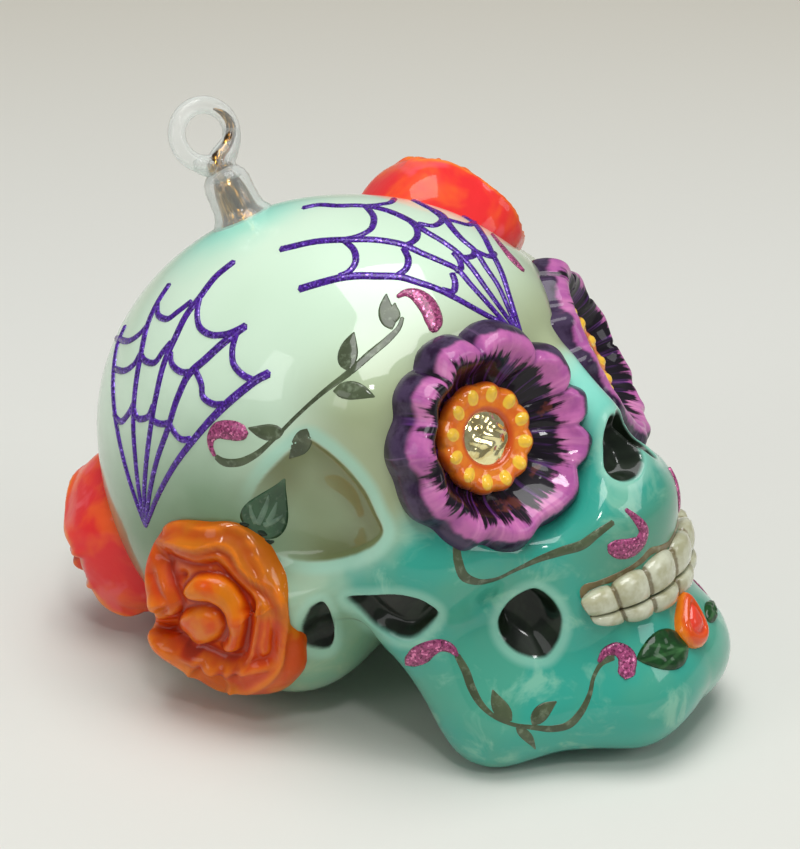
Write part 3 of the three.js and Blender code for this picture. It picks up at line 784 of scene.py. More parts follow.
class SUGARSKULL_OT_skull_glass(bpy.types.Operator):
    """Blow the skull's skin, with the paint of its hollows marked on it"""

    bl_idname = "sugar_skull.skull_glass"
    bl_label = "Skull glass"

    def execute(self, context):
        _, colours = settings()
        start_clean()
        bpy.ops.mesh.primitive_ico_sphere_add(subdivisions=SKIN_DIVISIONS, radius=1.0)
        piece = context.object
        piece.name = piece.data.name = "skull_skin"
        mesh = piece.data

        # The glass is divided more finely where a recess is pressed into it
        _, gaps = self.blown(mesh)
        near = np.min([np.abs(gap) for gap in gaps.values()], axis=0) < FINE_BAND
        bpy.ops.object.mode_set(mode="EDIT")
        bpy.ops.mesh.select_all(action="DESELECT")
        bpy.ops.object.mode_set(mode="OBJECT")
        for face in mesh.polygons:
            face.select = any(near[i] for i in face.vertices)
        bpy.ops.object.mode_set(mode="EDIT")
        bpy.ops.mesh.subdivide(number_cuts=1)
        bpy.ops.mesh.quads_convert_to_tris()
        bpy.ops.object.mode_set(mode="OBJECT")
        level, gaps = self.blown(mesh)
        aims = unit(level - CORE)
        for name, (_, depth, slope) in RECESSES.items():
            pressed = smooth_step(WALL_START, -slope, gaps[name])
            if name == "temple":
                pressed = pressed * self.fading(level)
            level = level - aims * (depth * pressed)[:, None]
        mesh.vertices.foreach_set("co", to_world(level).ravel())
        for name, gap in gaps.items():
            keep(mesh, name, gap)
        keep(mesh, "fading", self.fading(level))
        keep(mesh, "level", level)
        outward(piece)
        finished(piece, self.glass(colours), "skull_glass", "skull_shell")
        low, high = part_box("skull_shell")
        reach = np.abs(np.array(piece.bound_box).max(axis=0) - np.array(high)).max()
        if reach > SKIN_SLACK * (high[1] - low[1]):
            raise RuntimeError("the skull's skin doesn't follow its solid")
        return {"FINISHED"}

    def blown(self, mesh):
        """The skin straight out from the core past each point, and how far each recess is."""
        points = np.empty(len(mesh.vertices) * 3)
        mesh.vertices.foreach_get("co", points)
        aims = unit(unit(points.reshape(-1, 3)) + GUIDE)
        level = CORE + aims * skin_along(aims)[:, None]
        right = level.copy()
        right[:, 0] = -np.abs(right[:, 0])
        # The left nostril mirrors the right one, a little further from the ridge of the nose
        nose = level.copy()
        mirrored = -np.maximum(level[:, 0] / 2, level[:, 0] - NOSTRIL_SHIFT)
        nose[:, 0] = np.where(level[:, 0] > 0, mirrored, level[:, 0])
        gaps = {}
        for name, (outline, _, _) in RECESSES.items():
            side = nose if name == "nose" else right
            world = to_world(side)
            places = pixels_of(world)
            middle = np.mean(outline, axis=0)
            apart = np.linalg.norm(places - middle, axis=1)
            reach = np.linalg.norm(np.array(outline) - middle, axis=1).max() + RECESS_MARGIN
            nearness = (world / MM - EYE) @ -BACKWARD
            heart = np.argmin(np.where(apart < HEART_REACH, nearness, np.inf))
            span = np.linalg.norm(side - side[heart], axis=1)
            close = (apart < reach) & (span < RECESS_SPAN * reach * AWAY / FOCAL_PIXELS)
            gap = np.full(len(level), NO_RECESS)
            gap[close] = outside_outline(places[close], outline) * AWAY / FOCAL_PIXELS
            gaps[name] = gap
        return level, gaps

    def fading(self, level):
        """How far forward of its soft rear end a point of the temple lies, from 0 to 1."""
        return smooth_step(TEMPLE_FADE[0], TEMPLE_FADE[1], level[:, 1])

    def glass(self, colours):
        """Turquoise below, milky mint above, and dark or olive recesses."""
        paint = Paint("skull_painted_glass", roughness=0.32, coat_weight=1.0, coat_roughness=0.04)
        x, y, z = paint.split(paint.mark("level", "Vector"))
        clouds = paint.noise(55.0, 3.0, 0.6)
        cells = paint.noise(160.0, 4.0, 0.6, 0.6)
        haze = paint.noise(24.0, 2.0)

        # Turquoise comes in below a soft line that drops towards the back
        line = z + 10.5 + 8.0 * y.step(-32.0, 16.0) + (clouds - 0.5) * 12.0 - 9.0 * y.step(-33.0, -40.0)
        lower = 1 - line.step(-5.0, 5.0)
        tinted = paint.mix((clouds.step(0.42, 0.62) * 0.6).held(), colours.face, linear(84, 164, 136))
        patched = paint.mix((cells.step(0.52, 0.74) * 0.6).held(), tinted, colours.patch)
        milky = paint.mix(haze.step(0.35, 0.65) * 0.5, colours.dome, linear(184, 214, 182))
        from_neck = ((y - 2.8) ** 2 + x * x) ** 0.5 + (clouds - 0.5) * 8.0
        crown = (1 - from_neck.step(4.0, 17.0)) * z.step(20.0, 26.0)
        dome = paint.mix(crown * 0.85, milky, colours.crown)

        # The brow and the back are thinner and more olive, and the cranium's lower sides, the temples among
        # them, get painted shade in a deep olive
        brow = y.step(-8.0, -22.0) * (1 - z.step(4.0, 20.0)) * (1 - lower)
        dome = paint.mix(brow * 0.9, dome, linear(162, 172, 130))
        # Painted shade: below the crown the cranium's sides darken to a deep olive, where less light falls
        side = y.step(-18.0, 8.0) * (1 - (z + (clouds - 0.5) * 10.0).step(-6.0, 21.0)) * (1 - lower)
        dome = paint.mix(side * 0.95, dome, linear(94, 130, 88))
        # The nose bridge is paler aqua glass, partly a painted highlight
        bridge_tint_and_highlight = y.step(-34.0, -40.0) * z.step(-17.0, -5.0) * 0.8
        patched = paint.mix(bridge_tint_and_highlight, patched, linear(158, 240, 220))
        rear = y.step(-12.0, -4.0) * (0.35 + cells * 0.7)
        patched = paint.mix(rear.held(), patched, linear(152, 178, 140))
        tone = paint.mix(lower, dome, patched)
        gum = z.step(-21.0, -27.0) * (1 - z.step(-38.0, -41.0)) * y.step(-34.0, -40.0)

        # The temple's hollow is olive, darkened near its edge by painted shade, with a pale rim
        temple = paint.mark("temple") + (cells - 0.5) * 0.3
        fading = paint.mark("fading")
        rim = (1 - temple.step(1.0, 2.6)) * temple.step(-0.2, 0.3) * fading
        inner = (1 - temple.step(-0.35, 0.15)) * fading
        # Painted shade: a darker olive inside the hollow near its edge, the temple's olive further in
        deep = 1 - (temple + (clouds - 0.5) * 5.0).step(-6.5, -1.0)
        hollow = paint.mix(deep, linear(112, 120, 74), colours.temple)
        tone = paint.over(tone, (gum * 0.5, linear(92, 136, 104)))
        tone = paint.over(tone, (rim * 0.75, linear(168, 218, 196)), (inner * 0.95, hollow))

        # The other recesses are black inside and dull, with a pale rim too
        dull = None
        for name in ("nose", "cheek", "ear", "arch"):
            edge = paint.mark(name) + (cells - 0.5) * 0.35
            shade = paint.mix(cells.step(0.35, 0.7) * 0.5, colours.recess, linear(40, 54, 36))
            hole = 1 - edge.step(-0.3, 0.12)
            tone = paint.over(tone, ((1 - edge.step(0.5, 1.9)) * 0.45, linear(170, 222, 200)), (hole, shade))
            dull = hole if dull is None else dull + hole
        paint.set(base_color=tone, coat_weight=(0.85 - dull * 0.45).held())
        paint.bump(paint.noise(70.0, 1.0, 0.4), 0.35, 1.2)
        return paint.material


class SUGARSKULL_OT_hanger(bpy.types.Operator):
    """Draw the clear neck with its silvered core, and the hanging ring with its silver thread"""

    bl_idname = "sugar_skull.hanger"
    bl_label = "Neck and ring"

    def execute(self, context):
        sizes, colours = settings()
        radius = sizes.neck_radius / MM
        height = sizes.neck_height / MM
        ring = sizes.ring_radius / MM
        rod = sizes.ring_rod / MM
        seat = (np.array(NECK_SEAT), np.eye(3))
        angles = once_round(48)

        def lathe(name, profile):
            return ring_body(name, [circled(r, angles, z) for r, z in profile], seat)

        # Both profiles are radius and height, from the foot under the crown's glass to the top
        sleeve = [(0.4, -2.6), (radius + 1.6, -2.6), (radius + 1.5, -0.6), (radius + 0.75, 0.5)]
        sleeve += [(radius + 0.25, 1.2), (radius, 2.2), (radius * 0.97, 4.0), (radius * 0.97, height - 2.4)]
        sleeve += [(radius * 0.88, height - 1.3), (radius * 0.72, height - 0.5), (radius * 0.52, height)]
        sleeve += [(0.4, height + 0.1)]
        neck = lathe("neck_sleeve", sleeve)
        core = [(0.3, -2.2), (radius + 0.4, -2.2), (radius + 0.2, -0.2), (radius * 0.78, 0.9)]
        core += [(radius * 0.72, 2.2), (radius * 0.66, 4.4), (radius * 0.56, height - 2.2)]
        core += [(radius * 0.46, height - 1.3), (radius * 0.36, height - 0.6), (0.3, height - 0.5)]
        silver = lathe("neck_core", core)

        c, s = math.cos(-LOOP_TURN), math.sin(-LOOP_TURN)
        loop_seat = (np.array(NECK_SEAT), np.array(((c, s, 0), (-s, c, 0), (0, 0, 1))))
        start_clean()
        bpy.ops.mesh.primitive_torus_add(
            major_segments=96, minor_segments=24, major_radius=ring * MM, minor_radius=rod * MM
        )
        loop = context.object
        places = np.empty(len(loop.data.vertices) * 3)
        loop.data.vertices.foreach_get("co", places)
        places = places.reshape(-1, 3)[:, (0, 2, 1)] / MM * (1, -1, 1) + (0, 0, RING_RISE)
        keep(loop.data, "own", places)
        loop.data.vertices.foreach_set("co", to_world(from_seat(places, loop_seat)).ravel())
        outward(loop)
        bends = [(0, 0, 6.4), (0.3, 0, 8.0), (1.0, 0, 9.2), (2.4, 0, 10.2), (3.5, 0, 11.2), (4.2, 0, 12.6)]
        stem = self.rod("loop_stem", bends, [2.6, 2.35, 2.1, 1.75, 1.45, 1.3], loop_seat)
        curl = [(0.6, 0.0, 8.2), (-0.8, -0.3, 8.6), (-2.0, -0.2, 9.2), (-2.9, 0.0, 10.2)]
        tail = self.rod("loop_tail", curl, [1.5, 1.5, 1.4, 1.25], loop_seat)
        clear_loop = joined("loop_glass", [loop, stem, tail])
        thread = [(0.3, -0.2, 7.2), (-0.6, -0.5, 8.7), (0.4, -0.7, 9.9), (2.2, -0.6, 10.8), (3.6, -0.5, 12.0)]
        thread += [(4.3, -0.4, 13.6), (3.9, -0.3, 15.2), (2.9, -0.2, 16.4)]
        flame = self.rod("loop_silver", thread, [1.9, 1.4, 0.95, 0.85, 0.8, 0.7, 0.5, 0.15], loop_seat, 24)

        clear = self.clear(colours)
        silvered = self.silvered(colours)
        finished(neck, clear, "clear_glass", "hanger_neck")
        finished(silver, silvered, "silvered_glass", "hanger_neck")
        finished(clear_loop, clear, "clear_glass", "hanger_loop")
        finished(flame, silvered, "silvered_glass", "hanger_loop")
        return {"FINISHED"}

    def rod(self, name, places, radii, seat, steps=32):
        """A round rod that swells and thins along smooth bends in its own upright plane."""
        at = np.linspace(0, len(places) - 1, steps)
        middle, reach = through(places, at), through(radii, at)
        along = unit(np.gradient(middle, axis=0))
        side = np.array((0.0, 1.0, 0.0))
        lift = unit(np.cross(along, side))
        flank = np.cross(lift, along)
        angles = once_round(24)
        rings = [
            m + r * (np.cos(angles)[:, None] * a + np.sin(angles)[:, None] * b)
            for m, r, a, b in zip(middle, reach, lift, flank)
        ]
        ends = (middle[0] - along[0] * reach[0] * 0.4, middle[-1] + along[-1] * reach[-1] * 0.6)
        return ring_body(name, rings, seat, ends)

    def clear(self, colours):
        """Clear glass, greyer and less clear where it's seen edge on, as painted shade for the light that its
        edges bend away.
        """
        gloss = {"specular_ior_level": 0.5, "ior": 1.5, "coat_weight": 1.0, "coat_roughness": 0.02}
        paint = Paint("clear_hanger_glass", roughness=0.03, **gloss)
        rim = paint.node("ShaderNodeLayerWeight", None, {"Blend": 0.3}, "Facing")
        # Painted shade: seen edge on, the glass turns a greyer beige
        paint.set(base_color=paint.mix(rim.step(0.35, 0.8) * 0.6, colours.clear, linear(176, 172, 150)))
        paint.set(alpha=(0.18 + rim * 0.62).held())
        paint.bump(paint.noise(120.0, 2.0), 0.25, 0.6)
        return paint.material

    def silvered(self, colours):
        """Silver behind glass, streaked along the neck."""
        gloss = {"metallic": 1.0, "coat_weight": 1.0, "coat_roughness": 0.03}
        paint = Paint("silvered_hanger_glass", roughness=0.12, **gloss)
        x, y, z = paint.own()
        cords = paint.noise(1.0, 2.0, at=paint.vector(x * 0.9, y * 0.9, z * 0.12))
        fine = paint.noise(900.0, 3.0)
        tone = paint.mix(cords.step(0.4, 0.68), linear(96, 62, 14), colours.silver)
        paint.set(base_color=paint.mix(fine.step(0.55, 0.8) * 0.5, tone, linear(232, 226, 206)))
        paint.set(roughness=0.06 + fine * 0.2)
        paint.bump(cords, 0.6, 0.8)
        return paint.material


def eye_seat(hand):
    """The seat of an eye's flower, and how far its middle slides."""
    at, rise, yaw, tilt, shift = EYE_SEATS[hand]
    return facing(on_skin(at, FACE, rise), yaw, tilt), shift


class SUGARSKULL_OT_eye_petals(bpy.types.Operator):
    """Press the ruffled flower round each eye"""

    bl_idname = "sugar_skull.eye_petals"
    bl_label = "Eye flowers"

    def execute(self, context):
        sizes, colours = settings()
        radius = sizes.eye_radius / MM
        crest = sizes.eye_crest / MM
        lobes = sizes.petal_lobes
        angle = once_round(lobes * 22)
        # share of the radius, share of the lobes, height in mm and share of the fold's depth
        outline = [
            (0.9, 0.0, -13.0, 0.0),
            (1.0, 0.02, -6.0, 0.2),
            (1.05, 0.04, -3.0, 0.6),
            (1.055, 0.05, -1.4, 1.0),
            (1.03, 0.055, 0.1, 1.0),
            (0.985, 0.06, 0.45 * crest, 1.0),
            (0.94, 0.06, 0.8 * crest, 0.8),
            (0.885, 0.06, 1.02 * crest, 0.6),
            (0.825, 0.055, 1.03 * crest, 0.5),
            (0.765, 0.05, 0.82 * crest, 0.7),
            (0.7, 0.035, 0.5 * crest, 1.0),
            (0.63, 0.02, 0.12 * crest, 1.0),
            (0.55, 0.0, -0.6, 0.6),
            (0.4, 0.0, -1.2, 0.0),
        ]
        shares = through(outline, np.concatenate(((0, 0.5), np.linspace(1, len(outline) - 1, 44))))
        paint = self.lacquer(colours, radius)
        for hand, turn in (("right", 0.3), ("left", 1.9)):
            seat, shift = eye_seat(hand)
            # Lobes are as uneven as a hand-cut mould leaves them
            uneven = angle + 0.09 * np.sin(2 * angle + turn) + 0.06 * np.sin(3 * angle + 2 * turn)
            sharp = smooth_step(-0.4, 0.7, np.sin(angle + 0.9))
            wave = sharp * lobed(uneven, lobes, turn) + (1 - sharp) * 0.7 * np.cos(lobes * uneven + 2 * turn)
            puff = 0.5 + 0.5 * np.sin(2 * uneven + 3 * turn)
            frill = np.sin(2 * lobes * uneven + 2 * turn)
            rings, folds = [], []
            for share, lobe, z, fold in shares:
                crease = 1 - smooth_step(-1.0, -0.6, wave)
                reach = radius * share * (1 + lobe * wave + 0.015 * puff * fold)
                reach = reach - 0.22 * crease * fold * sharp + 0.1 * frill * fold
                height = z - 0.55 * crease * fold * sharp + 0.32 * (wave + puff - 0.5) * fold
                height = height + 0.12 * frill * fold
                slide = radius * smooth_step(0.5, 0.8, share)
                rings.append(circled(reach, angle, height) + (slide * shift[0], slide * shift[1], 0))
                folds.append(crease)
            ends = ((radius * shift[0], radius * shift[1], -13.0), (0, 0, -1.2))
            petals = ring_body("petals_" + hand, rings, seat, ends, {"fold": folds})
            finished(petals, paint, "petal_lacquer", "eye_petals_" + hand)
        return {"FINISHED"}

    def lacquer(self, colours, radius):
        """Orchid brushed over a dark valley, from the crest inwards, with painted highlights on the crest and
        painted shade in its creases.
        """
        paint = Paint("petal_brushed_lacquer", roughness=0.45, coat_weight=0.5, coat_roughness=0.05)
        x, y, z = paint.own()
        reach, _ = paint.polar()
        share = reach / radius
        # Brush strokes run out from the middle, so noise is stretched along the radius
        spoke = paint.vector(x / reach * 13.0, y / reach * 13.0, share * 1.6)
        strokes = paint.noise(1.0, 3.0, 0.6, at=spoke)
        long_strokes = paint.noise(0.45, 3.0, 0.6, at=spoke)
        clouds = paint.noise(330.0, 3.0)
        inner = (share + (strokes - 0.5) * 0.5 + (clouds - 0.5) * 0.24).step(0.75, 0.83)
        outer = 1 - (share + (long_strokes - 0.5) * 0.16 + (clouds - 0.5) * 0.1 - z * 0.03).step(0.88, 0.94)
        crest = inner * outer * z.step(0.6, 1.9)
        smear = paint.mix(clouds.step(0.35, 0.65), linear(172, 88, 156), colours.petal)
        # Paler streaks on the crest are painted highlights
        bright = paint.mix(long_strokes.step(0.45, 0.72) * 0.7, smear, linear(222, 144, 190))
        # The creases between the lobes get painted shade in a dark purple
        bright = paint.mix(paint.mark("fold") * 0.6, bright, linear(98, 44, 108))
        wall = paint.mix(clouds.step(0.38, 0.6) * 0.8, colours.petal_dark, linear(74, 58, 88))
        wall = paint.mix((strokes.step(0.62, 0.76) * 0.4).held(), wall, linear(150, 110, 160))
        valley = paint.mix(strokes.step(0.5, 0.66) * 0.7, linear(16, 6, 20), linear(92, 44, 120))
        valley = paint.mix((clouds.step(0.62, 0.72) * 0.5).held(), valley, linear(120, 56, 40))
        dark = paint.mix(share.step(0.86, 0.92), valley, wall)
        paint.set(base_color=paint.mix(crest, dark, bright))
        paint.bump(strokes, 0.35, 0.35)
        return paint.material


class SUGARSKULL_OT_eye_discs(bpy.types.Operator):
    """Press the orange scalloped disc and the crinkled mirror into each eye flower"""

    bl_idname = "sugar_skull.eye_discs"
    bl_label = "Eye discs and mirrors"

    def execute(self, context):
        sizes, colours = settings()
        radius = sizes.disc_radius / MM
        bore = sizes.mirror_radius / MM
        lobes = sizes.disc_lobes
        angle = once_round(lobes * 16)
        outline = [
            (bore * 0.98, 0.0, -1.5),
            (radius * 0.99, 0.01, -1.5),
            (radius * 1.02, 0.015, -0.9),
            (radius * 1.02, 0.025, -0.2),
            (radius * 0.99, 0.025, 0.45),
            (radius * 0.94, 0.02, 0.85),
            (radius * 0.88, 0.015, 1.05),
            (radius * 0.8, 0.01, 1.0),
            (radius * 0.72, 0.01, 0.85),
            (radius * 0.64, 0.0, 0.8),
            (bore * 1.08, 0.0, 0.75),
            (bore * 0.96, 0.0, 0.4),
            (bore * 0.9, 0.0, -0.5),
        ]
        shares = through(outline, np.linspace(0, len(outline) - 1, 40))
        disc_paint = self.disc_lacquer(colours, radius, lobes)
        mirror_paint = self.mirror(colours)
        for hand in ("right", "left"):
            seat, _ = eye_seat(hand)
            wave = lobed(angle, lobes)
            dots = np.cos(lobes * angle)
            rings = []
            for reach, lobe, z in shares:
                r = reach * (1 + lobe * wave)
                near = np.exp(-(((reach - radius * 0.82) / 1.0) ** 2)) * smooth_step(0.2, 0.9, dots)
                height = z + 0.3 * near + 0.2 * wave * smooth_step(0.7, 0.95, reach / radius) * (z > 0)
                rings.append(circled(r, angle, height))
            disc = ring_body("disc_" + hand, rings, seat)
            finished(disc, disc_paint, "disc_lacquer", "eye_disc_" + hand)
            shares_out = np.concatenate((np.linspace(0.5, 1.0, 6), np.linspace(0.98, 0.04, 18)))
            around = once_round(72)
            rings = []
            for i, share in enumerate(shares_out):
                r = bore * share * 0.99 + 0 * around
                x, y = r * np.cos(around), r * np.sin(around)
                crinkle = 0.16 * np.sin(2.1 * x + 1.3 * np.sin(1.7 * y)) * np.cos(1.9 * y + 0.8 * x)
                top = 0.95 * (1 - share**2) + 0.25 + crinkle * smooth_step(1.0, 0.7, share)
                z = np.full_like(around, -1.0) if i < 6 else top
                rings.append(np.stack((x, y, z), axis=1))
            mirror = ring_body("mirror_" + hand, rings, seat)
            finished(mirror, mirror_paint, "eye_mirror", "eye_mirror_" + hand)
        return {"FINISHED"}

    def disc_lacquer(self, colours, radius, lobes):
        """Orange with a yellow dot on each scallop."""
        paint = Paint("disc_dotted_lacquer", roughness=0.28, coat_weight=1.0, coat_roughness=0.04)
        reach, turn = paint.polar()
        clouds = paint.noise(420.0, 3.0)
        around = paint.node("ShaderNodeMath", {"operation": "FRACT"}, {0: turn * lobes + 0.5}) - 0.5
        wide = around * (2 * math.pi / lobes) * reach / 0.95
        tall = (reach - radius * 0.81 + (clouds - 0.5) * 0.5) / 1.15
        dot = 1 - (wide * wide + tall * tall).step(0.75, 1.15)
        deep = paint.mix(clouds.step(0.3, 0.65), linear(226, 104, 24), colours.disc)
        edge = paint.mix(reach.step(radius * 0.95, radius * 1.04), deep, linear(200, 84, 18))
        inner = paint.mix(1 - reach.step(4.0, 4.8), edge, linear(206, 78, 16))
        paint.set(base_color=paint.mix(dot, inner, colours.dot))
        paint.bump(clouds, 0.3, 0.4)
        return paint.material

    def mirror(self, colours):
        """Silvered foil with fine crinkles."""
        paint = Paint("crinkled_mirror", metallic=1.0, roughness=0.1, coat_weight=0.8, coat_roughness=0.03)
        folds = paint.noise(430.0, 2.0, 0.5, 1.2)
        fine = paint.noise(1300.0, 2.0)
        paint.set(base_color=paint.mix(folds.step(0.35, 0.65), linear(226, 206, 140), colours.mirror))
        paint.set(roughness=0.05 + fine * 0.12)
        paint.bump(folds, 0.22, 0.5)
        return paint.material


# Where the right rose's edge lies, across, up and out from its seat in millimetres
RIGHT_EDGE = [(14.5, 0.1, -0.3), (14.2, 1.8, -1.0), (13.0, 3.8, -2.5), (11.7, 7.3, -4.4), (10.8, 9.1, -4.4),
    (9.1, 12.1, -3.5), (5.9, 13.8, -2.2), (0.5, 14.9, -1.8), (-3.2, 14.3, -1.2), (-6.2, 12.6, 0),
    (-8.6, 10.2, 1.3), (-10.2, 7.4, 2), (-10.8, 4.8, 2.2), (-12.2, 2.6, 2.4), (-15.0, 0.2, 3.2),
    (-16.0, -3.2, 3.3), (-14.8, -6.7, 3.0), (-12.2, -10.2, 2.5), (-9.4, -12.9, 2.5), (-6.2, -13.7, 2.4),
    (-2.4, -14.5, 2), (1.3, -14.7, 1.6), (5.2, -13.5, 1), (8.0, -11.9, 0.5), (9.8, -9.2, 0),
    (11.7, -5.6, 0), (13.2, -2, 0.3)]
# Its petals' outlines in the photograph, with the level that each starts from and how far it
# goes in, or stands out where that is below zero
PETALS = [
    (0.0, 0.6, [(250, 330), (330, 290), (420, 265), (520, 280), (610, 300), (700, 288), (780, 275),
     (850, 300), (905, 360), (960, 470), (1010, 560), (1060, 640), (1110, 720), (1150, 820), (1155, 920),
     (1145, 1030), (1140, 1130), (1130, 1230), (1060, 1330), (950, 1400), (820, 1430), (700, 1400),
     (600, 1340), (480, 1260), (360, 1170), (290, 1080), (250, 980), (245, 900), (250, 830), (200, 770),
     (170, 680), (180, 580), (210, 480), (225, 400)]),
    (-0.6, 1.0, [(285, 400), (380, 398), (460, 425), (560, 440), (650, 415), (720, 405), (790, 450),
     (850, 560), (930, 640), (1010, 690), (1090, 760), (1130, 850), (1135, 950), (1125, 1060), (1115, 1160),
     (1060, 1235), (980, 1250), (900, 1268), (800, 1278), (700, 1258), (600, 1215), (500, 1168),
     (400, 1125), (320, 1060), (270, 990), (252, 920), (275, 850), (310, 835), (260, 750), (225, 650),
     (205, 550), (215, 490), (245, 430)]),
    (-1.6, 1.5, [(330, 430), (450, 470), (560, 500), (620, 497), (700, 488), (760, 540), (830, 620),
     (900, 690), (960, 750), (985, 810), (970, 900), (960, 1000), (945, 1090), (925, 1170), (870, 1225),
     (770, 1225), (700, 1205), (640, 1175), (560, 1140), (470, 1100), (390, 1050), (330, 980), (310, 900),
     (345, 865), (400, 870), (405, 820), (380, 760), (350, 680), (325, 600), (315, 500)]),
    (-3.1, -2.0, [(430, 745), (440, 700), (480, 650), (520, 615), (580, 603), (650, 605), (720, 612),
     (790, 650), (850, 720), (885, 800), (900, 900), (895, 1000), (875, 1080), (850, 1150), (800, 1175),
     (740, 1165), (715, 1130), (750, 1090), (765, 1040), (745, 960), (730, 900), (690, 850), (620, 815),
     (540, 808), (470, 790)]),
    (-3.1, -1.9, [(405, 935), (430, 890), (490, 862), (560, 850), (640, 858), (695, 885), (722, 940),
     (725, 1010), (690, 1070), (640, 1100), (560, 1118), (510, 1095), (470, 1045), (420, 995)]),
    (-0.6, 0.8, [(540, 1258), (640, 1280), (720, 1315), (785, 1375), (775, 1415), (700, 1410),
     (610, 1345)]),
    (-1.6, -0.7, [(1000, 745), (1050, 800), (1090, 880), (1100, 980), (1090, 1080), (1075, 1170),
     (1010, 1190), (985, 1130), (1000, 1020), (1010, 900)]),
]
# The outlines are counted from this pixel and at this scale, and so are the small pits
PETAL_CROP = (120, 490, 7.13)
PITS = [(440, 605), (640, 1172), (770, 1215), (862, 1222), (925, 850)]
# A rose's crown over the size that the user sets, and how its dome rounds off
ORANGE_DOME = (1.14, (2.4, 0.62))
RED_DOME = (1.16, (3.2, 0.45))
# How near the painted skin the petals' folds may come, in millimetres
CLEARANCE = 0.6
# The share of a rose's height that its folds start from, and the steps round it
ROSE_SHARE = 0.9
ROSE_STEPS = 240
# In millimetres, how deep a rose's edge is sunk in the skin, where it lies if it overhangs the
# skin, and the lowest that it goes; then how many steps to each side it's smoothed over
EDGE_SUNK = 0.3
EDGE_OVERHANG = -3
EDGE_LOWEST = -6
EDGE_SMOOTHED = 12


